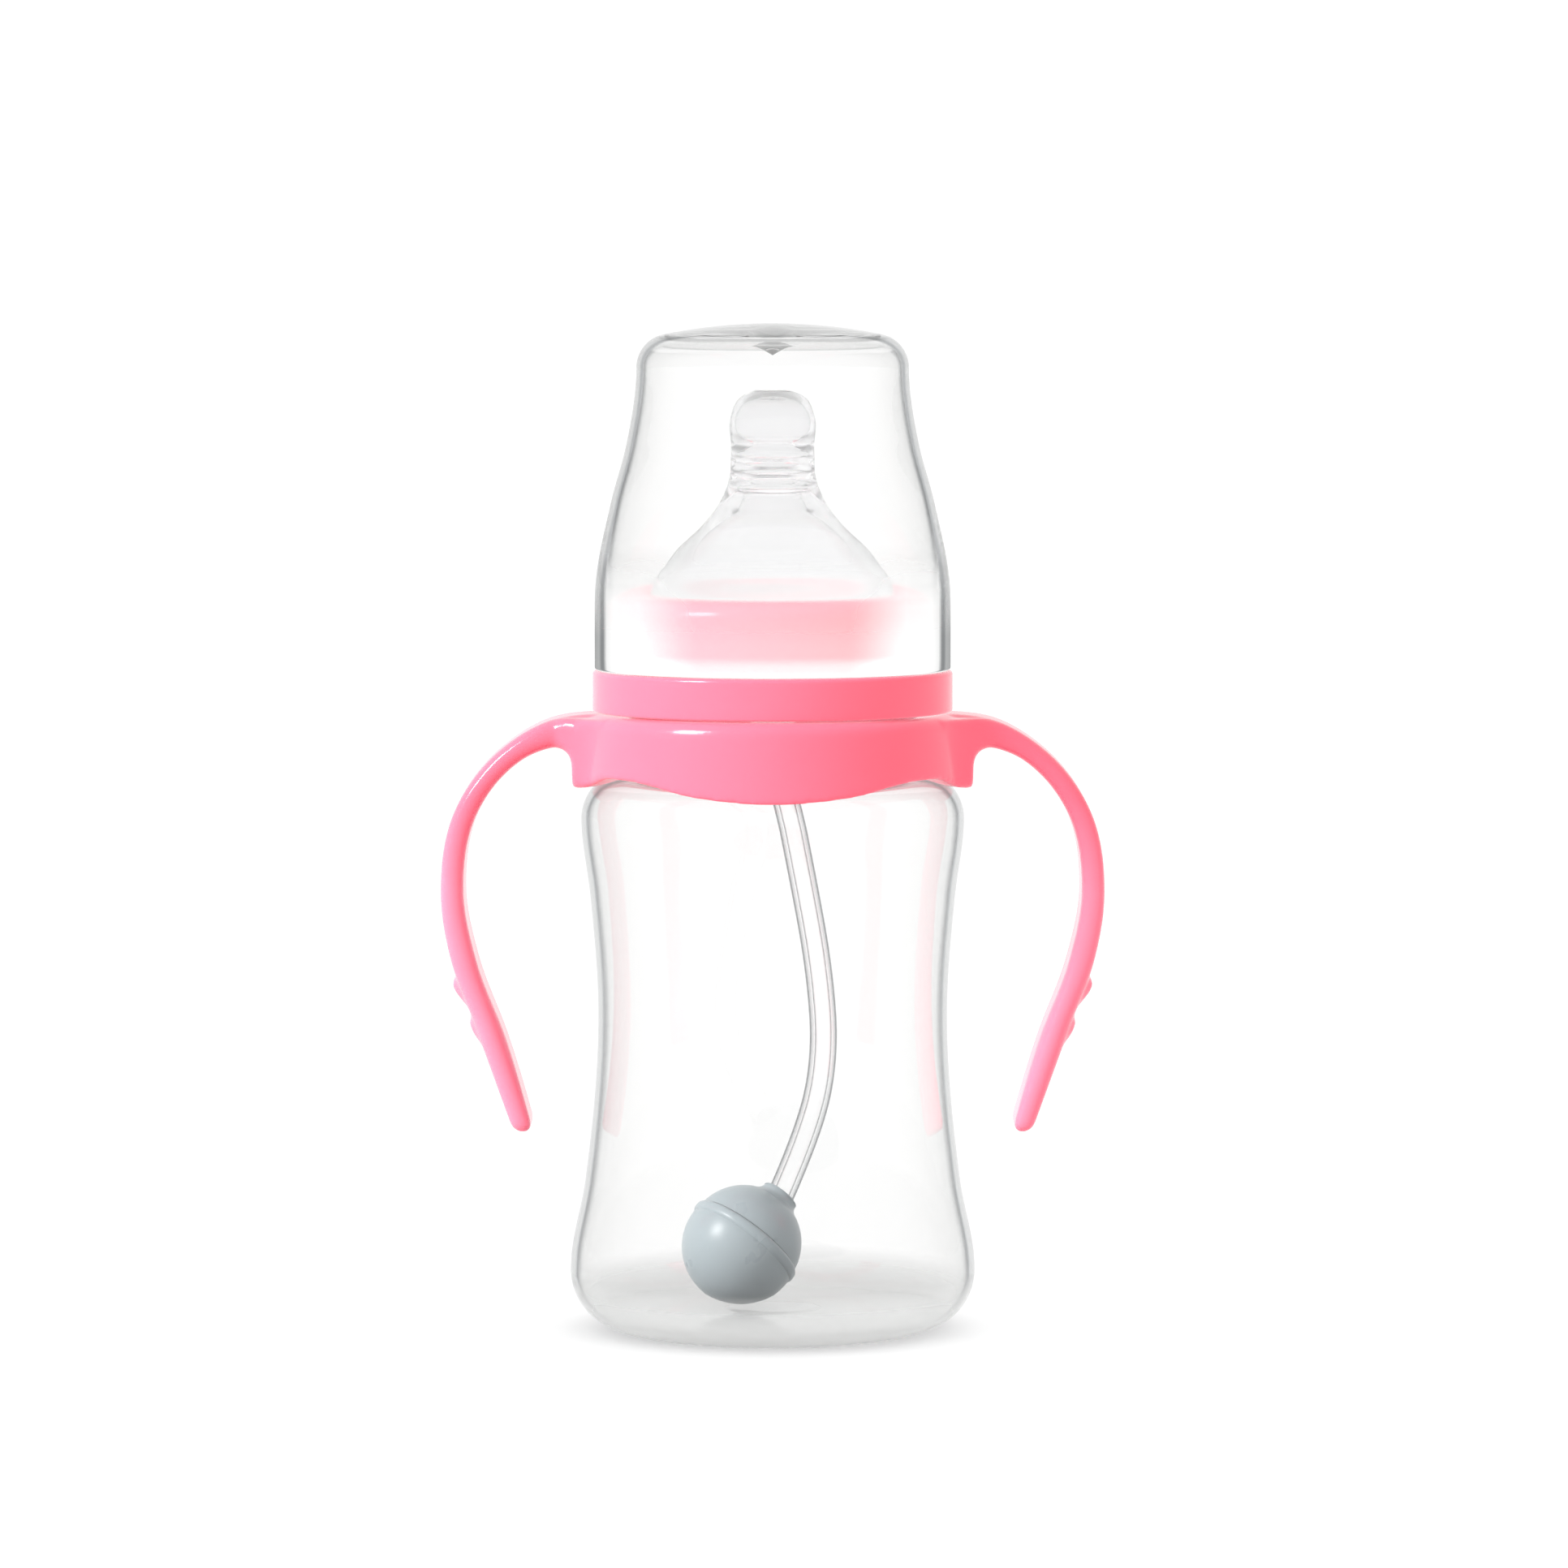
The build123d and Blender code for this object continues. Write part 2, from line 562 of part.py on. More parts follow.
def dome_cap():
    """Domed cap with a straight skirt and a small moulding gate inside its crown."""
    bore_shoulder = (CAP_BORE, CAP_BORE_TOP)
    inner_crown = CAP_CROWN_RADIUS - CAP_WALL
    roof = CAP_TOP - CAP_ROOF
    shell = turned(
        Line((CAP_BORE, CAP_RIM), (CAP_RADIUS, CAP_RIM)),
        Line((CAP_RADIUS, CAP_RIM), (CAP_RADIUS, CAP_STRAIGHT_TOP)),
        Spline(
            (CAP_RADIUS, CAP_STRAIGHT_TOP),
            *CAP_SIDE,
            (CAP_CROWN_RADIUS, CAP_CROWN_START),
            tangents=[(0, 1), (0, 1)],
        ),
        *crown(0, CAP_TOP),
        Line((0, CAP_TOP), (0, roof)),
        *crown(CAP_WALL, roof),
        Spline(
            bore_shoulder,
            *[(radius - CAP_WALL, height) for radius, height in CAP_SIDE],
            (inner_crown, CAP_CROWN_START),
            tangents=[(CAP_BORE_LEAN, 1), (0, 1)],
        ),
        Line(bore_shoulder, (CAP_BORE, CAP_RIM)),
    )
    gate_height = GATE_DEPTH + CAP_ROOF / 2
    gate = Pos(0, 0, roof - GATE_DEPTH + gate_height / 2) * Cone(GATE_TIP_RADIUS, GATE_RADIUS, gate_height)
    return shell + gate


def main():
    """Build every piece and write it to parts/."""
    path = straw_path()
    pieces = {
        "bottle_body": bottle_body(),
        "handle_ring": handle_ring(),
        "screw_collar": screw_collar(),
        "nipple": nipple(),
        "straw_disc": straw_disc(),
        "straw": straw(path),
        "ball_upper_shell": ball_upper_shell(),
        "ball_lower_shell": ball_lower_shell(),
        "ball_weight": ball_weight(),
        "dome_cap": dome_cap(),
    }
    os.makedirs("parts", exist_ok=True)
    for name, shape in pieces.items():
        export_step(shape, f"parts/{name}.step")


main()
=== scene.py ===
"""Baby bottle with a domed cap, two handle arms and a weighted straw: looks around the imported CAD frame.

Shapes are written in millimetres in the row's frame (origin at the middle of the foot, Z up, front
towards -Y) and turned into metres when a mesh is made. Heights and depths in materials are in metres.
"""

import math
from collections import namedtuple

import bmesh
import bpy
import numpy as np
from mathutils import Matrix, Vector


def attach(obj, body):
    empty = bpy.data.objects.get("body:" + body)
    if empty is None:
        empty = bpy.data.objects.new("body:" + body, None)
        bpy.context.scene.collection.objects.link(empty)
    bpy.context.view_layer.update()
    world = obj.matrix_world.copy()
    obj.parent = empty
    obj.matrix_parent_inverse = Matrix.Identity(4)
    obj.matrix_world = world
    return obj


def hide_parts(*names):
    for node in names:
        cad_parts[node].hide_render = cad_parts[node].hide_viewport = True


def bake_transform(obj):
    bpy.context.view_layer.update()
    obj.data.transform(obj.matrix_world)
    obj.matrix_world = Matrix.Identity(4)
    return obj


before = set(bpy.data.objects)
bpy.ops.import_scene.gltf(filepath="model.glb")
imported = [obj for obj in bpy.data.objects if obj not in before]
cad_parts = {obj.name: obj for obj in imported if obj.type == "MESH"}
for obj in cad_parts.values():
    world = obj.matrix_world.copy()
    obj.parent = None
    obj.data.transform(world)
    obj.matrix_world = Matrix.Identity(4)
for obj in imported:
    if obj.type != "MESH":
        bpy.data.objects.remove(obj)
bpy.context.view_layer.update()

MM = 0.001
SIDES = 192                     # faces round a turned piece
CREASE = math.radians(32)       # edges sharper than this stay sharp
WALL_MARK = "wall_mark"         # mesh attribute of a clear wall, for where its painted shade goes, see mark_walls()
LEVEL_NORMAL = 0.9              # a wall lies level where its normal's Z is more than this
ROOF_NORMAL = 0.7               # and is the roof of a hollow where that Z is under minus this

# ---------------------------------------------------------------- sizes shared by several pieces
SHOULDER_CENTRE = (24.2, 86.2)
SHOULDER_CORNER = 8.0
NECK_RADIUS = 24.2
NECK_BORE = 22.4
NECK_CREST = 25.35
LIP_HEIGHT = 118.5
THREAD_PITCH = 4.0
THREAD_TURNS = 1.5
THREAD_HALF_FOOT = 0.8          # half the thread's width where it meets its wall
THREAD_FLANK = 0.35             # run of each sloping flank
THREAD_FADE = 0.06              # turns over which an end fades out
NECK_THREAD_START = 108.0
COLLAR_THREAD_START = NECK_THREAD_START - THREAD_PITCH / 2
COLLAR_BORE = 25.75
COLLAR_CREST = 24.6
COLLAR_TOP = 123.6


# ================================================================ outlines
def arc(centre, radius, start, end, steps=16):
    """Points on an arc, with its angles in degrees from +radius towards +height."""
    angles = np.radians(np.linspace(start, end, steps + 1))
    return [(centre[0] + radius * math.cos(a), centre[1] + radius * math.sin(a)) for a in angles]


def spline(points, start=None, end=None, steps=12):
    """A smooth line through points, with optional directions at its ends."""
    pts = np.array(points, float)
    gaps = np.linalg.norm(np.diff(pts, axis=0), axis=1)
    slopes = np.zeros_like(pts)
    for i in range(1, len(pts) - 1):
        before = (pts[i] - pts[i - 1]) / gaps[i - 1]
        after = (pts[i + 1] - pts[i]) / gaps[i]
        slopes[i] = (before * gaps[i] + after * gaps[i - 1]) / (gaps[i] + gaps[i - 1])
    first, last = (pts[1] - pts[0]) / gaps[0], (pts[-1] - pts[-2]) / gaps[-1]
    slopes[0] = np.array(start) / np.linalg.norm(start) if start else 1.5 * first - 0.5 * slopes[1]
    slopes[-1] = np.array(end) / np.linalg.norm(end) if end else 1.5 * last - 0.5 * slopes[-2]
    out = []
    for i, gap in enumerate(gaps):
        for t in np.linspace(0, 1, steps + 1)[: None if i == len(gaps) - 1 else -1]:
            p = (2 * t**3 - 3 * t**2 + 1) * pts[i] + (t**3 - 2 * t**2 + t) * gap * slopes[i]
            p = p + (3 * t**2 - 2 * t**3) * pts[i + 1] + (t**3 - t**2) * gap * slopes[i + 1]
            out.append(tuple(p))
    return out


def line(a, b, spacing=1.0):
    """Points on a straight run, no further apart than spacing."""
    count = max(1, math.ceil(math.dist(a, b) / spacing))
    return [tuple(np.array(a) + (np.array(b) - np.array(a)) * i / count) for i in range(count + 1)]


def outline(*runs):
    """Join runs of points, dropping the ones that repeat."""
    joined = []
    for point in (p for run in runs for p in run):
        if not joined or math.dist(point, joined[-1]) > 1e-4:
            joined.append(point)
    if math.dist(joined[0], joined[-1]) < 1e-4:
        joined.pop()
    return joined


# ================================================================ meshes
def finish_mesh(name, verts, faces, material, crease=CREASE):
    """Make an object from points in millimetres, with smooth faces and sharp creases."""
    mesh = bpy.data.meshes.new(name)
    mesh.from_pydata([tuple(np.array(v) * MM) for v in verts], [], faces)
    work = bmesh.new()
    work.from_mesh(mesh)
    bmesh.ops.remove_doubles(work, verts=work.verts, dist=1e-7)
    bmesh.ops.recalc_face_normals(work, faces=work.faces)
    work.to_mesh(mesh)
    work.free()
    mesh.polygons.foreach_set("use_smooth", [True] * len(mesh.polygons))
    mesh.set_sharp_from_angle(angle=crease)
    obj = bpy.data.objects.new(name, mesh)
    bpy.context.scene.collection.objects.link(obj)
    mesh.materials.append(material)
    return obj


def turn(profile, relief=None, sides=SIDES):
    """Points and faces of a closed outline turned about Z.

    relief(angle, height, radius) says how far a point moves outwards.
    """
    verts, rings = [], []
    angles = np.linspace(0, 2 * math.pi, sides, endpoint=False)
    for radius, height in profile:
        if radius < 1e-6:
            rings.append([len(verts)] * sides)
            verts.append((0, 0, height))
            continue
        rings.append(list(range(len(verts), len(verts) + sides)))
        for angle in angles:
            r = radius + (relief(angle, height, radius) if relief else 0)
            verts.append((r * math.cos(angle), r * math.sin(angle), height))
    faces = []
    for low, high in zip(rings, rings[1:] + rings[:1]):
        for i in range(sides):
            j = (i + 1) % sides
            corners = list(dict.fromkeys((low[i], low[j], high[j], high[i])))
            if len(corners) > 2:
                faces.append(corners)
    return verts, faces


def mark_walls(obj, is_outside, is_level, is_roof):
    """Write WALL_MARK from three tests of a vertex, 1 where true.

    X is the outside of a clear wall, Y where it lies level, Z the roof of a hollow.
    """
    marks = obj.data.attributes.new(WALL_MARK, "FLOAT_VECTOR", "POINT")
    for vertex, mark in zip(obj.data.vertices, marks.data):
        mark.vector = (float(is_outside(vertex)), float(is_level(vertex)), float(is_roof(vertex)))


def mark_turned(obj, core=0.0):
    """WALL_MARK on a piece turned about the Z axis. Everything within the core radius counts as level."""

    def is_outside(vertex):
        return vertex.normal.x * vertex.co.x + vertex.normal.y * vertex.co.y > 0

    def is_level(vertex):
        return vertex.normal.z > LEVEL_NORMAL or math.hypot(vertex.co.x, vertex.co.y) < core * MM

    def is_roof(vertex):
        return vertex.normal.z < -ROOF_NORMAL

    mark_walls(obj, is_outside, is_level, is_roof)


def thread_relief(root, crest, start):
    """How far a right-handed thread stands from its wall, at an angle and a height."""

    def relief(angle, height, radius):
        if abs(radius - root) >= 0.01:
            return 0.0
        turn_now = (height - start) / THREAD_PITCH
        first = angle / (2 * math.pi)
        best = 0.0
        for lap in range(math.ceil(THREAD_TURNS) + 1):
            along = first + lap
            if along > THREAD_TURNS:
                continue
            offset = abs(turn_now - along) * THREAD_PITCH
            flank = np.clip((THREAD_HALF_FOOT - offset) / THREAD_FLANK, 0, 1)
            ends = np.clip(min(along, THREAD_TURNS - along) / THREAD_FADE, 0, 1)
            best = max(best, flank * ends)
        return (crest - root) * best

    return relief


# ================================================================ materials
PP_IOR = 1.49                   # polypropylene
SILICONE_IOR = 1.41
CAP_IOR = 1.3                   # less than the real ones, as the thin walls hardly bend the view
TEAT_IOR = 1.33

LIGHT_PASSED = 0.97             # share of the light that each side of a clear wall lets by
LEVEL_SHADE = (0.82, 0.825, 0.82, 1)     # painted shade of a clear wall's level parts, such as a floor
ROOF_SHADE = (0.32, 0.325, 0.322, 1)     # painted shade of the cap's roof, from above, and its gate
HOLLOW_ROOF_SHADE = (0.93, 0.93, 0.928, 1)   # painted shade of the roofs of hollows

# Painted shade of clear walls, from facing the viewer (0) to edge-on (1): greys and near-black lines in
# place of the dark refractions and reflections seen at their edges.
CLEAR_INSIDE = (
    (0.0, (0.92, 0.92, 0.917)),
    (0.3, (0.90, 0.90, 0.897)),
    (0.42, (0.86, 0.86, 0.855)),
    (0.52, (0.79, 0.79, 0.785)),
    (0.62, (0.72, 0.72, 0.715)),
    (0.74, (0.60, 0.605, 0.60)),
    (0.81, (0.12, 0.13, 0.135)),
    (0.85, (0.01, 0.012, 0.014)),
)
BOTTLE_OUTSIDE = (
    (0.0, (1.0, 1.0, 1.0)),
    (0.55, (0.96, 0.96, 0.957)),
    (0.69, (0.82, 0.825, 0.82)),
    (0.735, (0.10, 0.11, 0.115)),
    (0.755, (0.10, 0.11, 0.115)),
    (0.79, (0.28, 0.29, 0.29)),
    (0.9, (0.14, 0.15, 0.15)),
    (1.0, (0.05, 0.05, 0.05)),
)
CAP_OUTSIDE = (
    (0.0, (1.0, 1.0, 1.0)),
    (0.55, (0.96, 0.96, 0.957)),
    (0.64, (0.80, 0.805, 0.80)),
    (0.69, (0.14, 0.15, 0.155)),
    (0.73, (0.10, 0.11, 0.115)),
    (0.78, (0.28, 0.29, 0.29)),
    (0.9, (0.14, 0.15, 0.15)),
    (1.0, (0.05, 0.05, 0.05)),
)
SOFT_INSIDE = (
    (0.0, (0.95, 0.95, 0.955)),
    (0.5, (0.94, 0.94, 0.945)),
    (0.7, (0.86, 0.865, 0.87)),
    (0.85, (0.50, 0.51, 0.52)),
    (1.0, (0.20, 0.21, 0.22)),
)
SOFT_OUTSIDE = (
    (0.0, (0.95, 0.95, 0.955)),
    (0.6, (0.94, 0.94, 0.945)),
    (0.8, (0.78, 0.785, 0.79)),
    (0.9, (0.50, 0.51, 0.52)),
    (1.0, (0.35, 0.36, 0.37)),
)
TUBE_INSIDE = (
    (0.0, (1.0, 1.0, 1.0)),
    (0.36, (0.97, 0.97, 0.97)),
    (0.46, (0.50, 0.51, 0.515)),
    (0.6, (0.08, 0.085, 0.09)),
    (1.0, (0.06, 0.065, 0.07)),
)
TUBE_OUTSIDE = (
    (0.0, (1.0, 1.0, 1.0)),
    (0.22, (0.97, 0.97, 0.967)),
    (0.30, (0.66, 0.67, 0.67)),
    (0.45, (0.42, 0.43, 0.435)),
    (0.55, (0.08, 0.085, 0.09)),
    (1.0, (0.02, 0.022, 0.024)),
)

# Scales of noise are in features per metre, and a mottle is a slow change of colour and gloss.
FLOW_SCALE = 90.0               # faint flow lines in clear mouldings
FLOW_DETAIL = 3.0
FLOW_BUMP = 0.004
FLOW_DEPTH = 0.0004
GLOSS_ROUGHNESS = (0.005, 0.02)

BASE_CLOUD_AND_SHADE = (0.003, 0.0098)    # heights that the cloud and the painted grey shade in the bottle's base fade out between
# painted grey shade of the thick base; its cloud is the plastic's own
BASE_SHADE = (0.83, 0.835, 0.828, 1)
BASE_PASSED = (0.78, 0.78, 0.78, 1)     # light that each side of the cloudy base lets by
BASE_TRANSMISSION = 0.42
BASE_ROUGHNESS = 0.10
BASE_ROUGH_HEIGHTS = (0.001, 0.007)

CAP_HAZE_HEIGHTS = (0.1112, 0.1312)     # the cap turns clear between these
CAP_HAZE = ((0.0, 0.9), (0.07, 0.62), (0.18, 0.28), (0.55, 0.21), (0.75, 0.12), (1.0, 0.0))
CAP_ROUGHNESS = 0.30            # in the haze
CAP_ROUGH_SHARE = (0.3, 0.85)   # of the haze's height
SIDE_HAZE = 3.6                 # times as milky where the wall is seen from its side
SIDE_FACING = (0.10, 0.34)

TEAT_ROUGHNESS = (0.05, 0.12)
TEAT_TRANSMISSION = (0.55, 0.92)        # at the foot of the dome, and up from the neck
TEAT_HEIGHTS = (0.120, 0.136)
TUBE_ROUGHNESS = (0.02, 0.05)

SURFACE_GRAIN = 0.0001          # depth of the fine grain on the coloured plastics
PINK_MOTTLE = 60.0
PINK_GRAIN = 1800.0
PINK_BUMP = 0.012
PINK_SHADES = ((0.0, (0.93, 0.112, 0.176)), (1.0, (0.95, 0.124, 0.192)))
PAINTED_LIGHT_PINK = (0.95, 0.172, 0.255, 1)     # painted light: a lighter pink down the arms' thin lower parts, for light that shows through them
# heights over which the painted light on the arms fades out
PAINTED_LIGHT_HEIGHTS = (0.074, 0.090)
PINK_ROUGHNESS = (0.13, 0.18)
PINK_SCATTER = 0.15
PINK_SCATTER_COLOURS = (1.0, 0.45, 0.5)
PINK_SCATTER_DEPTH = 0.0015

GREY_MOTTLE = 160.0
GREY_MOTTLE_DETAIL = 3.0
GREY_GRAIN = 2500.0
GREY_BUMP = 0.02
GREY_SHADES = ((0.0, (0.200, 0.232, 0.246)), (1.0, (0.220, 0.252, 0.266)))
GREY_ROUGHNESS = (0.26, 0.34)

NATURAL_MOTTLE = 120.0
NATURAL_COLOUR = (0.97, 0.972, 0.972, 1)
NATURAL_TRANSMISSION = 0.15
NATURAL_ROUGHNESS = (0.25, 0.4)
STEEL_GRAIN = 3000.0
STEEL_COLOUR = (0.62, 0.62, 0.61, 1)
STEEL_ROUGHNESS = (0.2, 0.35)

NOISE_RANGE = (0.3, 0.7)        # where most of a noise's values lie

ClearPlastic = namedtuple("ClearPlastic", "material tree shader flow tint passed")


def new_material(name):
    """A node material, its tree and its Principled shader."""
    material = bpy.data.materials.new(name)
    material.use_nodes = True
    tree = material.node_tree
    return material, tree, tree.nodes["Principled BSDF"]


def noise(tree, scale, detail=2.0):
    """Noise over the object's own coordinates."""
    node = tree.nodes.new("ShaderNodeTexNoise")
    node.inputs["Scale"].default_value = scale
    node.inputs["Detail"].default_value = detail
    coords = tree.nodes.new("ShaderNodeTexCoord")
    tree.links.new(coords.outputs["Object"], node.inputs["Vector"])
    return node.outputs["Fac"]


def spread(tree, value, result, source=NOISE_RANGE):
    """Map a value from its source range to the result range, and no further."""
    node = tree.nodes.new("ShaderNodeMapRange")
    node.inputs["From Min"].default_value = source[0]
    node.inputs["From Max"].default_value = source[1]
    node.inputs["To Min"].default_value = result[0]
    node.inputs["To Max"].default_value = result[1]
    tree.links.new(value, node.inputs["Value"])
    return node.outputs["Result"]


def bump(tree, height, strength, distance):
    """A normal from a height."""
    node = tree.nodes.new("ShaderNodeBump")
    node.inputs["Strength"].default_value = strength
    node.inputs["Distance"].default_value = distance
    tree.links.new(height, node.inputs["Height"])
    return node.outputs["Normal"]


def height_of(tree):
    """The height in the row's frame."""
    coords = tree.nodes.new("ShaderNodeTexCoord")
    parts = tree.nodes.new("ShaderNodeSeparateXYZ")
    tree.links.new(coords.outputs["Object"], parts.inputs["Vector"])
    return parts.outputs["Z"]


def edge_facing(tree):
    """How edge-on a surface is seen, from 0 to 1."""
    layer = tree.nodes.new("ShaderNodeLayerWeight")
    layer.inputs["Blend"].default_value = 0.5
    return layer.outputs["Facing"]


def ramp(tree, value, stops, interpolation="LINEAR"):
    """A colour or level along (position, colour or level) stops, for a value between 0 and 1."""
    node = tree.nodes.new("ShaderNodeValToRGB")
    node.color_ramp.interpolation = interpolation
    elements = node.color_ramp.elements
    while len(elements) < len(stops):
        elements.new(0.5)
    for element, (position, shade) in zip(elements, stops):
        element.position = position
        element.color = (*shade, 1) if isinstance(shade, tuple) else (shade, shade, shade, 1)
    tree.links.new(value, node.inputs["Fac"])
    return node.outputs["Color"]


def mixed(tree, factor, first, second):
    """A colour between two, each a socket or a value."""
    node = tree.nodes.new("ShaderNodeMix")
    node.data_type = "RGBA"
    tree.links.new(factor, node.inputs[0])
    for socket, colour in ((node.inputs[6], first), (node.inputs[7], second)):
        if isinstance(colour, tuple):
            socket.default_value = colour
        else:
            tree.links.new(colour, socket)
    return node.outputs[2]


def combine(tree, operation, a, b):
    """One arithmetic step on two sockets or values, kept between 0 and 1."""
    node = tree.nodes.new("ShaderNodeMath")
    node.operation = operation
    node.use_clamp = True
    for socket, value in zip(node.inputs, (a, b)):
        if isinstance(value, float):
            socket.default_value = value
        else:
            tree.links.new(value, socket)
    return node.outputs["Value"]


def painted_edge_shade(tree, inside, outside, level):
    """Painted shade of a wall, greying it towards edge-on, as WALL_MARK says where its outside, level
    parts and hollow roofs are.
    """
    facing = edge_facing(tree)
    mark = tree.nodes.new("ShaderNodeAttribute")
    mark.attribute_name = WALL_MARK
    parts = tree.nodes.new("ShaderNodeSeparateXYZ")
    tree.links.new(mark.outputs["Vector"], parts.inputs["Vector"])
    inner = ramp(tree, facing, inside)
    outer = ramp(tree, facing, outside)
    upright = mixed(tree, parts.outputs["X"], inner, outer)
    walls = mixed(tree, parts.outputs["Z"], upright, HOLLOW_ROOF_SHADE)
    return mixed(tree, parts.outputs["Y"], walls, level)


def let_light_through(tree, shader):
    """Light on its way to other surfaces passes a clear wall unbent, so that what is inside stays lit.

    Returns the socket with the colour of light let by.
    """
    path = tree.nodes.new("ShaderNodeLightPath")
    clear = tree.nodes.new("ShaderNodeBsdfTransparent")
    clear.inputs["Color"].default_value = (LIGHT_PASSED, LIGHT_PASSED, LIGHT_PASSED, 1)
    surface = shader.outputs["BSDF"]
    for ray in ("Is Shadow Ray", "Is Diffuse Ray"):
        mix = tree.nodes.new("ShaderNodeMixShader")
        tree.links.new(path.outputs[ray], mix.inputs["Fac"])
        tree.links.new(surface, mix.inputs[1])
        tree.links.new(clear.outputs["BSDF"], mix.inputs[2])
        surface = mix.outputs["Shader"]
    tree.links.new(surface, tree.nodes["Material Output"].inputs["Surface"])
    return clear.inputs["Color"]


def clear_plastic(name, inside, outside, ior, level=LEVEL_SHADE):
    """Clear moulded plastic: real refraction, with faint flow lines in its surface and painted shade at
    its edges.
    """
    material, tree, shader = new_material(name)
    tint = painted_edge_shade(tree, inside, outside, level)
    tree.links.new(tint, shader.inputs["Base Color"])
    shader.inputs["Transmission Weight"].default_value = 1.0
    shader.inputs["IOR"].default_value = ior
    flow = noise(tree, FLOW_SCALE, FLOW_DETAIL)
    tree.links.new(bump(tree, flow, FLOW_BUMP, FLOW_DEPTH), shader.inputs["Normal"])
    passed = let_light_through(tree, shader)
    return ClearPlastic(material, tree, shader, flow, tint, passed)


def bottle_material():
    """Clear polypropylene, a little cloudy in its thick base, with painted shade greying it there."""
    plastic = clear_plastic("clear_bottle_pp", CLEAR_INSIDE, BOTTLE_OUTSIDE, PP_IOR)
    tree, shader = plastic.tree, plastic.shader
    height = height_of(tree)
    base = spread(tree, height, (1.0, 0.0), BASE_CLOUD_AND_SHADE)
    tree.links.new(mixed(tree, base, plastic.tint, BASE_SHADE), shader.inputs["Base Color"])
    passed = mixed(tree, base, (LIGHT_PASSED, LIGHT_PASSED, LIGHT_PASSED, 1), BASE_PASSED)
    tree.links.new(passed, plastic.passed)
    haze = spread(tree, height, (BASE_ROUGHNESS, 0.0), BASE_ROUGH_HEIGHTS)
    gloss = spread(tree, plastic.flow, GLOSS_ROUGHNESS)
    tree.links.new(combine(tree, "ADD", haze, gloss), shader.inputs["Roughness"])
    clear = spread(tree, height, (BASE_TRANSMISSION, 1.0), BASE_CLOUD_AND_SHADE)
    tree.links.new(clear, shader.inputs["Transmission Weight"])
    return plastic.material


def cap_material():
    """Clear polypropylene that turns milky towards the rim, most of all where its wall is seen edge-on."""
    plastic = clear_plastic("clear_cap_pp", CLEAR_INSIDE, CAP_OUTSIDE, CAP_IOR, ROOF_SHADE)
    tree, shader = plastic.tree, plastic.shader
    share = spread(tree, height_of(tree), (0.0, 1.0), CAP_HAZE_HEIGHTS)
    low = ramp(tree, share, CAP_HAZE, "EASE")
    side = spread(tree, edge_facing(tree), (1.0, SIDE_HAZE), SIDE_FACING)
    milk = combine(tree, "MULTIPLY", low, side)
    tree.links.new(combine(tree, "SUBTRACT", 1.0, milk), shader.inputs["Transmission Weight"])
    haze = spread(tree, share, (CAP_ROUGHNESS, 0.0), CAP_ROUGH_SHARE)
    gloss = spread(tree, plastic.flow, GLOSS_ROUGHNESS)
    tree.links.new(combine(tree, "ADD", haze, gloss), shader.inputs["Roughness"])
    return plastic.material


def nipple_material():
    """Clear silicone with the faint bloom of a moulded surface."""
    plastic = clear_plastic("nipple_silicone", SOFT_INSIDE, SOFT_OUTSIDE, TEAT_IOR)
    tree, shader = plastic.tree, plastic.shader
    tree.links.new(spread(tree, plastic.flow, TEAT_ROUGHNESS), shader.inputs["Roughness"])
    clear = spread(tree, height_of(tree), TEAT_TRANSMISSION, TEAT_HEIGHTS)
    tree.links.new(clear, shader.inputs["Transmission Weight"])
    return plastic.material


def straw_material():
    """Clear silicone tube."""
    plastic = clear_plastic("straw_silicone", TUBE_INSIDE, TUBE_OUTSIDE, SILICONE_IOR)
    rough = spread(plastic.tree, plastic.flow, TUBE_ROUGHNESS)
    plastic.tree.links.new(rough, plastic.shader.inputs["Roughness"])
    return plastic.material


def pink_material():
    """Glossy pink polypropylene, with painted light that lightens it a little down the thin arms."""
    material, tree, shader = new_material("pink_pp")
    broad = noise(tree, PINK_MOTTLE)
    shade = ramp(tree, broad, PINK_SHADES)
    # painted light: lighter pink low down the arms
    painted_light = spread(tree, height_of(tree), (1.0, 0.0), PAINTED_LIGHT_HEIGHTS)
    tree.links.new(mixed(tree, painted_light, shade, PAINTED_LIGHT_PINK), shader.inputs["Base Color"])
    tree.links.new(spread(tree, broad, PINK_ROUGHNESS), shader.inputs["Roughness"])
    fine = noise(tree, PINK_GRAIN)
    tree.links.new(bump(tree, fine, PINK_BUMP, SURFACE_GRAIN), shader.inputs["Normal"])
    shader.inputs["IOR"].default_value = PP_IOR
    shader.inputs["Subsurface Weight"].default_value = PINK_SCATTER
    shader.inputs["Subsurface Radius"].default_value = PINK_SCATTER_COLOURS
    shader.inputs["Subsurface Scale"].default_value = PINK_SCATTER_DEPTH
    return material


def grey_material():
    """Satin grey polypropylene of the ball."""
    material, tree, shader = new_material("grey_pp")
    broad = noise(tree, GREY_MOTTLE, GREY_MOTTLE_DETAIL)
    tree.links.new(ramp(tree, broad, GREY_SHADES), shader.inputs["Base Color"])
    tree.links.new(spread(tree, broad, GREY_ROUGHNESS), shader.inputs["Roughness"])
    fine = noise(tree, GREY_GRAIN)
    tree.links.new(bump(tree, fine, GREY_BUMP, SURFACE_GRAIN), shader.inputs["Normal"])
    return material


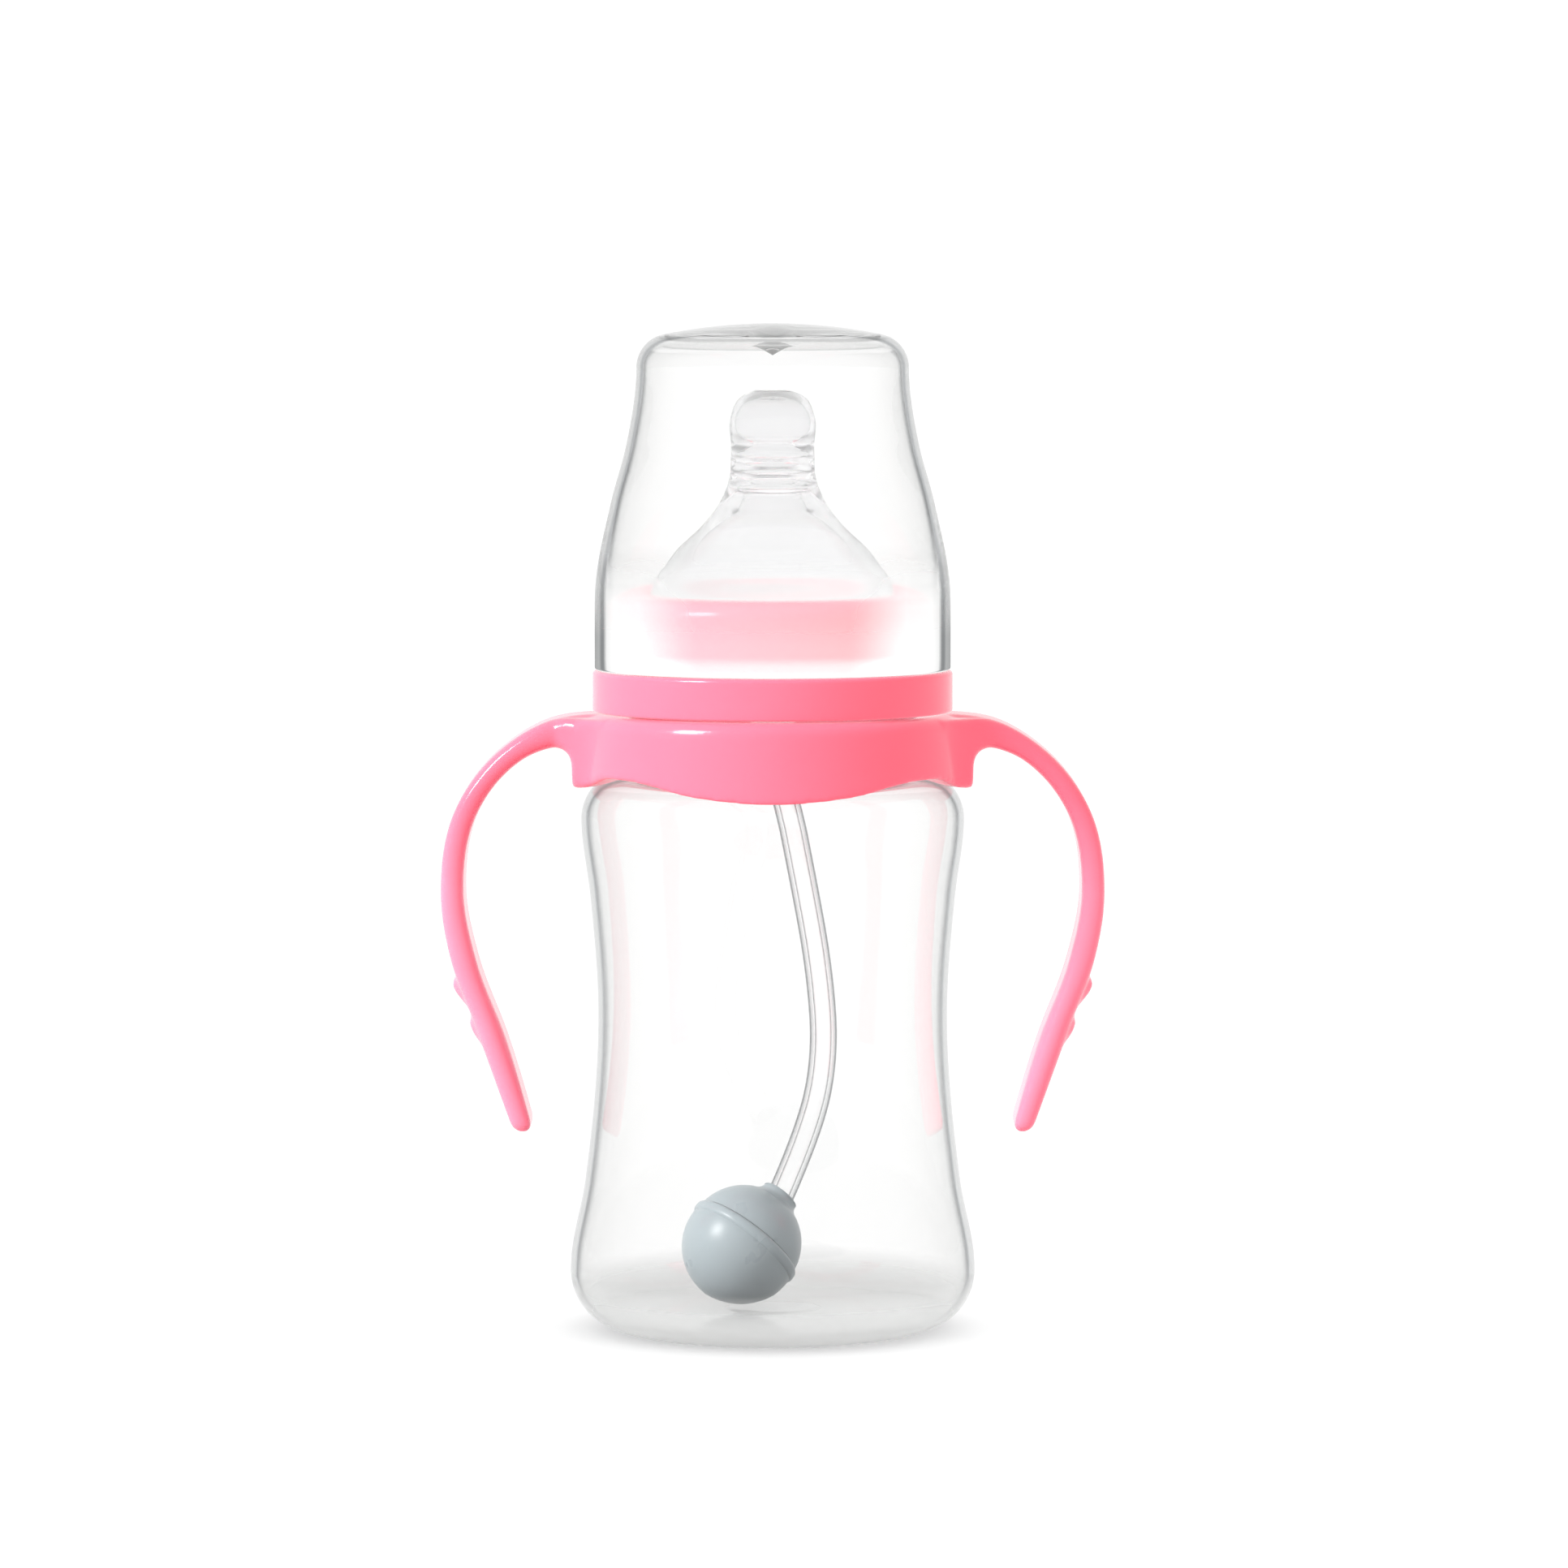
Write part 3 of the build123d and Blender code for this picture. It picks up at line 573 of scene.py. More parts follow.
def natural_material():
    """Uncoloured, milky polypropylene of the disc."""
    material, tree, shader = new_material("natural_pp")
    shader.inputs["Base Color"].default_value = NATURAL_COLOUR
    shader.inputs["Transmission Weight"].default_value = NATURAL_TRANSMISSION
    shader.inputs["IOR"].default_value = PP_IOR
    broad = noise(tree, NATURAL_MOTTLE)
    tree.links.new(spread(tree, broad, NATURAL_ROUGHNESS), shader.inputs["Roughness"])
    return material


def steel_material():
    """Turned stainless steel of the weight."""
    material, tree, shader = new_material("turned_steel")
    shader.inputs["Base Color"].default_value = STEEL_COLOUR
    shader.inputs["Metallic"].default_value = 1.0
    grain = noise(tree, STEEL_GRAIN)
    tree.links.new(spread(tree, grain, STEEL_ROUGHNESS), shader.inputs["Roughness"])
    return material


CLEAR_BOTTLE = bottle_material()
CLEAR_CAP = cap_material()
NIPPLE_SILICONE = nipple_material()
STRAW_SILICONE = straw_material()
PINK = pink_material()
GREY = grey_material()
NATURAL = natural_material()
STEEL = steel_material()


# ================================================================ camera
CAMERA_HEIGHT = 179.0
CAMERA_DISTANCE = 1255.0
AIM = (1.9, 0.0, 91.9)
LENS = 172.0
SENSOR = 36.0
FAR_CLIP = 20.0                 # metres


def look(obj, direction):
    """Turn a camera or light to face along a direction, and put it in the scene."""
    obj.rotation_euler = direction.to_track_quat("-Z", "Y").to_euler()
    bpy.context.scene.collection.objects.link(obj)


def make_camera():
    """The camera, in front of the bottle and a little above the top of its cap."""
    data = bpy.data.cameras.new("camera")
    data.lens = LENS
    data.sensor_width = SENSOR
    data.clip_end = FAR_CLIP
    camera = bpy.data.objects.new("camera", data)
    place = Vector((AIM[0], -CAMERA_DISTANCE, CAMERA_HEIGHT)) * MM
    camera.location = place
    look(camera, Vector(AIM) * MM - place)
    bpy.context.scene.camera = camera


make_camera()


# ================================================================ straw
STRAW_RADIUS = 2.3
STRAW_BORE = 1.4
STRAW_SIDES = 48
STRAW_ROUTE = (
    (0.0, 0.0, 112.0),
    (0.0, 0.0, 104.0),
    (1.4, 0.0, 94.0),
    (4.9, 0.4, 77.0),
    (7.9, 1.1, 60.5),
    (8.9, 1.8, 46.0),
    (6.2, 2.0, 33.0),
    (0.6, 1.1, 20.6),
)


def route_points(points, resolution=16):
    """Points along the NURBS line that a route controls."""
    curve = bpy.data.curves.new("route", "CURVE")
    curve.dimensions = "3D"
    path = curve.splines.new("NURBS")
    path.points.add(len(points) - 1)
    for target, point in zip(path.points, points):
        target.co = (*(Vector(point) * MM), 1)
    path.order_u = 3
    path.use_endpoint_u = True
    path.resolution_u = resolution
    holder = bpy.data.objects.new("route", curve)
    mesh = bpy.data.meshes.new_from_object(holder)
    found = [v.co / MM for v in mesh.vertices]
    bpy.data.objects.remove(holder)
    bpy.data.curves.remove(curve)
    bpy.data.meshes.remove(mesh)
    return found


def make_straw():
    """Hollow silicone tube along its route. Returns it with its route, in metres."""
    path = route_points(STRAW_ROUTE)
    verts, rings = [], []
    across = Vector((0, 1, 0))
    for i, point in enumerate(path):
        along = (path[min(i + 1, len(path) - 1)] - path[max(i - 1, 0)]).normalized()
        across = (across - along * across.dot(along)).normalized()
        other = along.cross(across)
        for radius in (STRAW_RADIUS, STRAW_BORE):
            ring = []
            for k in range(STRAW_SIDES):
                angle = 2 * math.pi * k / STRAW_SIDES
                ring.append(len(verts))
                verts.append(point + (across * math.cos(angle) + other * math.sin(angle)) * radius)
            rings.append(ring)
    outer, inner = rings[0::2], rings[1::2]
    strips = list(zip(outer, outer[1:])) + list(zip(inner, inner[1:]))
    strips += [(outer[0], inner[0]), (outer[-1], inner[-1])]
    faces = []
    for a, b in strips:
        for k in range(STRAW_SIDES):
            j = (k + 1) % STRAW_SIDES
            faces.append((a[k], a[j], b[j], b[k]))
    obj = finish_mesh("straw_tube", verts, faces, STRAW_SILICONE)

    def is_outside(vertex):
        return vertex.index // STRAW_SIDES % 2 == 0

    def nowhere(vertex):
        return False

    mark_walls(obj, is_outside, nowhere, nowhere)
    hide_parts("straw")
    return obj, [p * MM for p in path]


# ================================================================ bottle
WALL = 1.05
HEEL_CENTRE = (24.1, 10.0)      # of the rounding from the foot to the side
HEEL_RADIUS = 10.0
HEEL_INSIDE = 8.95
FLOOR_HEIGHT = 3.0
FLOOR_FILLET = 2.5
FOOT_RECESS = 1.0               # how far the middle of the foot stands off the table
LIP_ROUNDING = 0.5


def body_side(inset, low):
    """The hourglass side, from the widest place of the base up to the shoulder."""
    shape = [(31.6, 25.3), (29.4, 55.0), (30.7, 73.2), (32.2, 86.2)]
    return spline([low] + [(r - inset, z) for r, z in shape], start=(0, 1), end=(0, 1), steps=20)


def make_bottle():
    """Blown bottle: foot ring, thick base, hourglass side, shoulder and threaded neck."""
    outer_shoulder = arc(SHOULDER_CENTRE, SHOULDER_CORNER, 0, 90, 20)
    inner_shoulder = arc(SHOULDER_CENTRE, SHOULDER_CORNER - WALL, 90, 0, 20)
    lip_start = LIP_HEIGHT - LIP_ROUNDING
    neck = line((NECK_RADIUS, 94.2), (NECK_RADIUS, lip_start), 0.25)
    lip = arc((NECK_RADIUS - LIP_ROUNDING, lip_start), LIP_ROUNDING, 0, 90, 4)
    lip += arc((NECK_BORE + LIP_ROUNDING, lip_start), LIP_ROUNDING, 90, 180, 4)
    bore = line((NECK_BORE, lip_start), (NECK_BORE, 94.6), 2.0)
    heel_x, heel_z = HEEL_CENTRE
    drop = heel_z - FLOOR_HEIGHT - FLOOR_FILLET
    reach = HEEL_INSIDE - FLOOR_FILLET
    fillet_x = heel_x + math.sqrt(reach**2 - drop**2)
    lean = math.degrees(math.asin(drop / reach))
    profile = outline(
        [(0, FOOT_RECESS)],
        line((7.0, FOOT_RECESS), (18.8, FOOT_RECESS), 3.0),
        spline([(18.8, FOOT_RECESS), (20.0, 0.6), (21.2, 0.0)], start=(1, 0), end=(1, 0), steps=5),
        line((21.2, 0), (heel_x, 0)),
        arc(HEEL_CENTRE, HEEL_RADIUS, -90, 0, 24),
        body_side(0, (heel_x + HEEL_RADIUS, heel_z)),
        outer_shoulder,
        neck,
        lip,
        bore,
        spline([(NECK_BORE, 94.6), (22.9, 93.6), (24.2, 93.15)], start=(0, -1), end=(1, 0), steps=5),
        inner_shoulder,
        body_side(WALL, (heel_x + HEEL_INSIDE, heel_z))[::-1],
        arc(HEEL_CENTRE, HEEL_INSIDE, 0, -lean, 14),
        arc((fillet_x, FLOOR_HEIGHT + FLOOR_FILLET), FLOOR_FILLET, -lean, -90, 8),
        line((fillet_x, FLOOR_HEIGHT), (8.4, FLOOR_HEIGHT), 3.0),
        spline([(8.4, FLOOR_HEIGHT), (7.8, 3.15), (7.2, 3.3)], start=(-1, 0), end=(-1, 0), steps=4),
        [(4.0, 3.3), (0, 3.3)],
    )
    relief = thread_relief(NECK_RADIUS, NECK_CREST, NECK_THREAD_START)
    verts, faces = turn(profile, relief)
    obj = finish_mesh("bottle", verts, faces, CLEAR_BOTTLE)
    mark_turned(obj)
    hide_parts("bottle_body")
    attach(obj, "bottle")
    return obj


# ================================================================ collar
def make_collar():
    """Pink screw collar: rounded grip band, drum for the cap and top plate."""
    bore = line((COLLAR_BORE, 120.7), (COLLAR_BORE, 104.6), 0.25)
    profile = outline(
        [(20.95, 123.2), (20.95, 122.0), (21.1, 121.85)],
        [(24.6, 121.85)],
        bore,
        [(26.1, 104.2)],
        line((26.1, 104.2), (29.8, 104.2), 1.0),
        arc((29.8, 104.6), 0.4, -90, 0, 4),
        line((30.2, 104.6), (30.2, 110.4), 1.5),
        arc((29.5, 110.4), 0.7, 0, 90, 8),
        [(28.2, 111.1)],
        spline([(27.8, 111.1), (27.4, 111.25), (27.3, 111.6)], start=(-1, 0), end=(0, 1), steps=4),
        line((27.3, 111.6), (27.3, 120.6), 2.0),
        arc((24.3, 120.6), 3.0, 0, 90, 16),
        [(21.5, COLLAR_TOP)],
        arc((21.35, COLLAR_TOP - 0.4), 0.4, 90, 180, 4),
    )
    relief = thread_relief(COLLAR_BORE, COLLAR_CREST, COLLAR_THREAD_START)
    verts, faces = turn(profile, relief)
    obj = finish_mesh("collar", verts, faces, PINK)
    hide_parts("screw_collar")
    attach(obj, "collar")
    return obj


# ================================================================ cap
CAP_TOP = 169.2
CAP_TOP_INSIDE = 167.0
CAP_WALL = 1.2
CROWN_RADIUS = 22.85            # where the side meets the rounded corner
CROWN_HEIGHT = 161.7
CROWN_CORNER = 5.8
SKIRT_INSIDE = 27.75
SKIRT_HEIGHT = 128.5            # the inside narrows from here up
GATE_RADIUS = 3.7


def crown(inset, top, steps):
    """The cap's rounded corner and shallow arched top, tangent to each other."""
    corner = CROWN_CORNER - inset
    corner_x = CROWN_RADIUS - CROWN_CORNER
    drop = top - CROWN_HEIGHT
    arch = (corner_x**2 + drop**2 - corner**2) / (2 * (drop - corner))
    lean = math.degrees(math.asin(corner_x / (arch - corner)))
    rounded = arc((corner_x, CROWN_HEIGHT), corner, 0, 90 - lean, steps)
    arched = arc((0, top - arch), arch, 90 - lean, 90, steps)
    return rounded + arched


def make_cap():
    """Domed cap with the small moulding gate inside its crown."""
    middle = [(27.1, 139.3), (24.5, 149.1)]
    side = [(29.85, 122.9), *middle, (CROWN_RADIUS, CROWN_HEIGHT)]
    inner_side = [(SKIRT_INSIDE, SKIRT_HEIGHT)]
    inner_side += [(r - CAP_WALL, z) for r, z in middle]
    inner_side += [(CROWN_RADIUS - CAP_WALL, CROWN_HEIGHT)]
    inner = crown(CAP_WALL, CAP_TOP_INSIDE, 14)
    gate = spline([(GATE_RADIUS, 166.97), (2.4, 166.3), (1.0, 165.1), (0.0, 164.3)], steps=5)
    profile = outline(
        arc((28.15, 111.6), 0.4, 180, 270, 4),
        line((28.2, 111.2), (29.4, 111.2)),
        arc((29.4, 111.65), 0.45, -90, 0, 4),
        line((29.85, 111.65), (29.85, 122.9), 2.0),
        spline(side, start=(0, 1), end=(0, 1), steps=16),
        crown(0, CAP_TOP, 16),
        gate[::-1],
        [p for p in inner[::-1] if p[0] > GATE_RADIUS],
        spline(inner_side, start=(-0.12, 1), end=(0, 1), steps=16)[::-1],
        line((SKIRT_INSIDE, SKIRT_HEIGHT), (SKIRT_INSIDE, 111.6), 2.0),
    )
    verts, faces = turn(profile)
    obj = finish_mesh("cap", verts, faces, CLEAR_CAP)
    mark_turned(obj, GATE_RADIUS)
    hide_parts("dome_cap")
    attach(obj, "cap")
    return obj


# ================================================================ nipple
# The inside of the neck, from the bottom up: rounded ribs with grooves between them.
NECK_RIBS = (
    (6.9, 137.4),
    (5.6, 138.9),
    (4.9, 140.2),
    (6.1, 141.4),
    (4.9, 142.9),
    (6.15, 144.3),
    (4.9, 145.7),
    (6.1, 147.0),
    (5.0, 149.0),
)
DOME = ((20.5, 123.6), (18.9, 126.9), (16.5, 130.3), (11.6, 135.2), (8.6, 139.6), (7.05, 145.0))
DOME_INSIDE = ((6.9, 137.4), (8.2, 136.2), (11.6, 132.6), (15.6, 128.2), (18.8, 121.8))
BULB = ((7.05, 145.0), (7.0, 149.0), (7.2, 152.6), (5.6, 156.6), (3.0, 157.95))
BULB_INSIDE = ((0.5, 156.9), (2.6, 156.95), (4.9, 155.9), (6.4, 152.6), (6.0, 150.4), (5.0, 149.0))


def make_nipple():
    """Silicone nipple: flange, dome, ribbed neck, hollow bulb and feed hole."""
    profile = outline(
        [(18.8, 120.0)],
        line((18.8, 120.0), (24.0, 120.0), 1.0),
        arc((24.0, 120.4), 0.4, -90, 0, 4),
        arc((24.0, 121.4), 0.4, 0, 90, 4),
        line((24.0, 121.8), (20.8, 121.8), 1.0),
        [(20.5, 122.1)],
        line((20.5, 122.1), (20.5, 123.6)),
        spline(DOME, start=(-0.25, 1), end=(0, 1), steps=12),
        spline(BULB, start=(0, 1), steps=10),
        spline([(3.0, 157.95), (1.6, 157.85), (0.5, 157.7)], end=(-1, -0.4), steps=4),
        [(0.45, 157.3), (0.5, 156.9)],
        spline(BULB_INSIDE, steps=10),
        spline(NECK_RIBS, steps=6)[::-1],
        spline(DOME_INSIDE, steps=10),
    )
    verts, faces = turn(profile)
    obj = finish_mesh("nipple_teat", verts, faces, NIPPLE_SILICONE)
    mark_turned(obj)
    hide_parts("nipple")
    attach(obj, "nipple_unit")
    return obj


# ================================================================ disc
def make_disc():
    """Sealing disc with its centring rim and the straw's socket."""
    profile = outline(
        [(1.4, 119.95), (1.4, 113.0), (2.5, 112.9)],
        line((2.5, 112.9), (2.5, 105.3)),
        [(2.7, 105.0), (3.4, 105.0)],
        line((3.6, 105.2), (3.6, 117.6), 2.0),
        [(4.6, 118.55)],
        line((4.6, 118.55), (20.8, 118.55), 2.0),
        [(20.8, 116.7), (21.0, 116.5), (21.8, 116.5), (22.0, 116.7), (22.0, 118.55), (23.9, 118.55)],
        [(24.1, 118.75), (24.1, 119.75), (23.9, 119.95)],
        line((23.9, 119.95), (2.0, 119.95), 2.0),
    )
    verts, faces = turn(profile)
    obj = finish_mesh("disc", verts, faces, NATURAL)
    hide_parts("straw_disc")
    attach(obj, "disc")


# ================================================================ ball
BALL_CENTRE = Vector((-5.4, -2.5, 14.0))
BALL_AXIS = Vector((0.59, 0.34, 0.73)).normalized()
BALL_CREASE = math.radians(40)
BALL_SIDES = 128
LOWER_RADIUS = 9.9
RIM_FOOT = 0.1                  # where the rim starts, above the middle of the lower shell
UPPER_RADIUS = 9.72
UPPER_MIDDLE = (0, 0.9)         # centre of the upper shell's arc


def ball_frame():
    """From the ball's own frame, with Z along its axis, to the row's frame, in millimetres."""
    return Matrix.Translation(BALL_CENTRE) @ BALL_AXIS.to_track_quat("Z", "Y").to_matrix().to_4x4()


def make_ball_part(name, profile, node):
    """One shell of the ball, turned about the ball's axis."""
    verts, faces = turn(profile, sides=BALL_SIDES)
    place = ball_frame()
    verts = [place @ Vector(v) for v in verts]
    obj = finish_mesh(name, verts, faces, GREY, BALL_CREASE)
    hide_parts(node)
    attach(obj, "weighted_straw")
    return obj


def make_ball():
    """Two grey shells: the lower with a proud rim, the upper with the straw's neck."""
    rim_angle = math.degrees(math.asin(RIM_FOOT / LOWER_RADIUS))
    lower = outline(
        arc((0, 0), LOWER_RADIUS, -90, rim_angle, 40),
        spline([(9.89, 0.2), (10.14, 0.5), (10.24, 1.1), (10.14, 1.7), (9.85, 2.0)], steps=4),
        [(8.4, 2.1), (6.55, 2.1)],
        line((6.55, 2.1), (6.55, -4.5), 2.0),
        [(3.0, -4.5), (0, -4.5)],
    )
    upper = outline(
        [(6.55, 2.1)],
        arc(UPPER_MIDDLE, UPPER_RADIUS, 7.2, 57, 24),
        spline([(5.15, 9.15), (4.2, 9.7), (3.5, 10.4), (3.2, 11.2)], steps=5),
        arc((2.95, 11.2), 0.32, 0, 90, 4),
        [(2.4, 11.6)],
        [(2.4, 8.0), (1.4, 7.6), (1.4, 4.0)],
        [(6.55, 4.0)],
    )
    low = make_ball_part("ball_lower", lower, "ball_lower_shell")
    high = make_ball_part("ball_upper", upper, "ball_upper_shell")
    return low, high


# ================================================================ handles
ARM_OUTSIDE = (
    (26.5, 104.0), (29.8, 104.0), (37.3, 102.9), (44.7, 98.7), (50.2, 93.0),
    (53.4, 87.3), (55.6, 74.0), (53.9, 62.6), (50.3, 52.6), (44.0, 35.3),
)
ARM_INSIDE = (
    (26.5, 97.0), (29.5, 97.6), (36.3, 98.4), (40.4, 97.1), (45.6, 93.0),
    (49.4, 87.3), (51.7, 74.0), (49.6, 62.6), (44.6, 49.2), (40.55, 35.5),
)
ARM_HALF_WIDTH = 7.5
ARM_ROUNDING = 0.9              # corner radius of the arm's section, as a share of its half thickness
GRIP_BUMPS = ((57.2, 2.6, 1.5), (50.6, 2.4, 1.3))   # height, half length, how far it stands out
GRIP_HALF_WIDTH = 5.0
TIP_ANGLES = (20, 40, 60, 80)   # degrees round the arm's tip
RING_EDGE = ((0.0, 90.6), (13.0, 91.6), (24.5, 93.8), (27.6, 93.7), (31.0, 91.9), (36.0, 91.8))
RING_TOP = 104.0
RING_BORE = 25.75
RING_SIDES = 256
RING_RADIUS = 31.8              # where the top rounding ends
RING_FLARE = 0.9 / 12.5         # how fast it widens on the way down
RING_CORNER = 2.4               # rounding of its top edge
SHOULDER_GAP = 0.35             # between the ring and the bottle's shoulder
ARMPIT = ((33.5, 91.8), (33.55, 95.6), (33.9, 97.0), (34.8, 98.0), (36.6, 98.4))
EAR_EDGE = 33.5                 # the ear's upright outer edge
ROOT_START = 27.5               # inside the ring
ROOT_END = 37.0                 # where the ear has become the arm
ROOT_TOP = 103.4
ROOT_SHRINK = 0.04              # share of its height that it loses, to end inside the arm
ROOT_NARROWING = 0.5            # how much its half width loses, for the same reason
ROOT_ROUNDING = 0.12            # corner radius of the ear's section, as a share of its half height
ROOT_FILLET = 12.0              # between an arm's sides and the ring
VOXEL = 0.4                     # of the remesh that fuses the pieces
EASING = 0.5                    # smoothing at each step, so that no edge is sharp
EASING_STEPS = 14


def ring_edge_height(x):
    """Height of the ring's wavy lower edge at a distance from the middle."""
    xs, zs = zip(*spline(RING_EDGE, start=(1, 0), end=(1, 0), steps=8))
    return float(np.interp(abs(x), xs, zs))


def loft(sections):
    """Faces between closed rings of points, with both ends closed."""
    count = len(sections[0])
    verts = [tuple(p) for ring in sections for p in ring]
    faces = [tuple(range(count)), tuple(range(len(verts) - 1, len(verts) - count - 1, -1))]
    for low in range(0, len(verts) - count, count):
        for i in range(count):
            j = (i + 1) % count
            faces.append((low + i, low + j, low + count + j, low + count + i))
    return verts, faces


def ring_mesh():
    """The band round the neck; its lower edge waves, and its inside clears the shoulder."""
    reach = SHOULDER_CORNER + SHOULDER_GAP
    corner_height = RING_TOP - RING_CORNER
    rings = []
    for k in range(RING_SIDES):
        angle = 2 * math.pi * k / RING_SIDES
        foot = ring_edge_height(RING_RADIUS * math.cos(angle))
        heights = np.linspace(corner_height, foot, 14)
        section = [(RING_BORE, RING_TOP)]
        section += arc((RING_RADIUS - RING_CORNER, corner_height), RING_CORNER, 90, 0, 10)
        section += [(RING_RADIUS + RING_FLARE * (corner_height - z), z) for z in heights[1:]]
        for z in heights[::-1]:
            clear = SHOULDER_CENTRE[0] + math.sqrt(max(reach**2 - (z - SHOULDER_CENTRE[1]) ** 2, 0))
            section.append((max(clear, RING_BORE), z))
        rings.append([(r * math.cos(angle), r * math.sin(angle), z) for r, z in section])
    count = len(rings[0])
    verts = [p for ring in rings for p in ring]
    faces = []
    for k in range(RING_SIDES):
        a, b = k * count, (k + 1) % RING_SIDES * count
        for i in range(count):
            j = (i + 1) % count
            faces.append((a + i, a + j, b + j, b + i))
    return verts, faces


def rounded_section(centre, across, half, width, rounding=ARM_ROUNDING):
    """Points of a rounded rectangle, half each way along across in XZ and width each way in Y."""
    corner = rounding * half
    side = width - corner
    points = []
    for sx, sy, start in ((1, 1, 0), (-1, 1, 90), (-1, -1, 180), (1, -1, 270)):
        points += arc((sx * (half - corner), sy * side), corner, start, start + 90, 8)
        if sx == sy:
            continue
        points += [(sx * half, y) for y in np.linspace(sy * side, -sy * side, 18)[1:-1]]
    return [(centre[0] + across[0] * a, y, centre[1] + across[1] * a) for a, y in points]


def grip_height(z, y):
    """How far the grip bumps stand out of the arm's outside."""
    across = np.clip(GRIP_HALF_WIDTH - abs(y), 0, 1)
    height = 0.0
    for middle, half, tall in GRIP_BUMPS:
        along = min(abs(z - middle) / half, 1.0)
        height += tall * math.cos(along * math.pi / 2) ** 0.8
    return height * across


def arm_mesh():
    """A handle arm: a rounded strap swept between its outside and inside lines, closed by a round tip."""
    outside = np.array(spline(ARM_OUTSIDE, steps=16))
    inside = np.array(spline(ARM_INSIDE, steps=16))
    sections = []
    for out, ins in zip(outside, inside):
        across = (out - ins) / np.linalg.norm(out - ins)
        half = np.linalg.norm(out - ins) / 2
        ring = rounded_section((out + ins) / 2, across, half, ARM_HALF_WIDTH)
        moved = []
        for x, y, z in ring:
            share = (((x, z) - ins) @ across) / (2 * half)
            lift = grip_height(z, y) * max(0.0, 2 * share - 1)
            moved.append((x + across[0] * lift, y, z + across[1] * lift))
        sections.append(moved)
    tip = (outside[-1] + inside[-1]) / 2
    along = tip - (outside[-2] + inside[-2]) / 2
    along = along / np.linalg.norm(along)
    for angle in np.radians(TIP_ANGLES):
        shrink = half * (1 - math.cos(angle))
        place = tip + along * half * math.sin(angle)
        sections.append(rounded_section(place, across, half - shrink, ARM_HALF_WIDTH - shrink))
    return loft(sections)


def root_mesh():
    """Where an arm grows out of the ring: the ear, widened by a fillet on each side."""
    top_x, top_z = zip(*spline(ARM_OUTSIDE[:5], steps=8))
    pit_x, pit_z = zip(*ARMPIT)
    centre_y = ARM_HALF_WIDTH + ROOT_FILLET
    centre_x = math.sqrt((RING_RADIUS + ROOT_FILLET) ** 2 - centre_y**2)
    tangent_x = centre_x * RING_RADIUS / (RING_RADIUS + ROOT_FILLET)
    sections = []
    for x in sorted([ROOT_START, *np.linspace(tangent_x, ROOT_END, 16), *pit_x[:-1]]):
        out_of_centre = np.clip(centre_x - x, 0, centre_x - tangent_x)
        width = centre_y - math.sqrt(ROOT_FILLET**2 - out_of_centre**2)
        top = min(np.interp(x, top_x, top_z), ROOT_TOP)
        low = ring_edge_height(x) if x <= EAR_EDGE else np.interp(x, pit_x, pit_z)
        share = np.clip((x - tangent_x) / (ROOT_END - tangent_x), 0, 1)
        half = (top - low) / 2 * (1 - ROOT_SHRINK * share**4)
        width -= ROOT_NARROWING * share**4
        rounding = ROOT_ROUNDING + (ARM_ROUNDING - ROOT_ROUNDING) * share**2
        sections.append(rounded_section((x, (top + low) / 2), (0, 1), half, width, rounding))
    return loft(sections)


def make_handles():
    """Ring, roots and arms as one moulding: fused, then eased so that every edge is rounded."""
    verts, faces = ring_mesh()
    for part_verts, part_faces in (arm_mesh(), root_mesh()):
        for side in (1, -1):
            start = len(verts)
            verts += [(side * x, side * y, z) for x, y, z in part_verts]
            faces += [tuple(i + start for i in face) for face in part_faces]
    obj = finish_mesh("handles", verts, faces, PINK)
    remesh = obj.modifiers.new("fuse", "REMESH")
    remesh.mode = "VOXEL"
    remesh.voxel_size = VOXEL * MM
    remesh.use_smooth_shade = True
    ease = obj.modifiers.new("ease", "SMOOTH")
    ease.factor = EASING
    ease.iterations = EASING_STEPS
    graph = bpy.context.evaluated_depsgraph_get()
    solid = bpy.data.meshes.new_from_object(obj.evaluated_get(graph))
    obj.modifiers.clear()
    obj.data = solid
    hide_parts("handle_ring")
    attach(obj, "handles")
    return obj


# ================================================================ floor and light
KEY_DIRECTION = Vector((-0.85, -0.40, 0.38))        # from the object towards the light
KEY_ENERGY = 3.9
KEY_ANGLE = math.radians(35)
SOFTBOX_DIRECTION = Vector((-0.70, -0.47, 0.53))
SOFTBOX_POWER = 11.0
SOFTBOX_SIZE = (0.34, 0.42)     # metres
SOFTBOX_DISTANCE = 1.2          # metres
SOFTBOX_AIM = Vector((0, 0, 0.09))      # metres
FLOOR_HALF = 30.0               # metres
FLOOR_COLOUR = (0.985, 0.985, 0.985, 1)
FLOOR_ROUGHNESS = 0.9
FLOOR_GLOW = 0.07               # lifts the paper to white round the object
WORLD_STRENGTH = 1.08


def make_floor():
    """A white paper floor that reaches to the horizon."""
    mesh = bpy.data.meshes.new("floor")
    corners = [(x * FLOOR_HALF, y * FLOOR_HALF, 0) for x, y in ((-1, -1), (1, -1), (1, 1), (-1, 1))]
    mesh.from_pydata(corners, [], [(0, 1, 2, 3)])
    floor = bpy.data.objects.new("floor", mesh)
    bpy.context.scene.collection.objects.link(floor)
    material, _, shader = new_material("floor")
    shader.inputs["Base Color"].default_value = FLOOR_COLOUR
    shader.inputs["Roughness"].default_value = FLOOR_ROUGHNESS
    shader.inputs["Specular IOR Level"].default_value = 0.0
    shader.inputs["Emission Color"].default_value = (1, 1, 1, 1)
    shader.inputs["Emission Strength"].default_value = FLOOR_GLOW
    mesh.materials.append(material)
    return floor


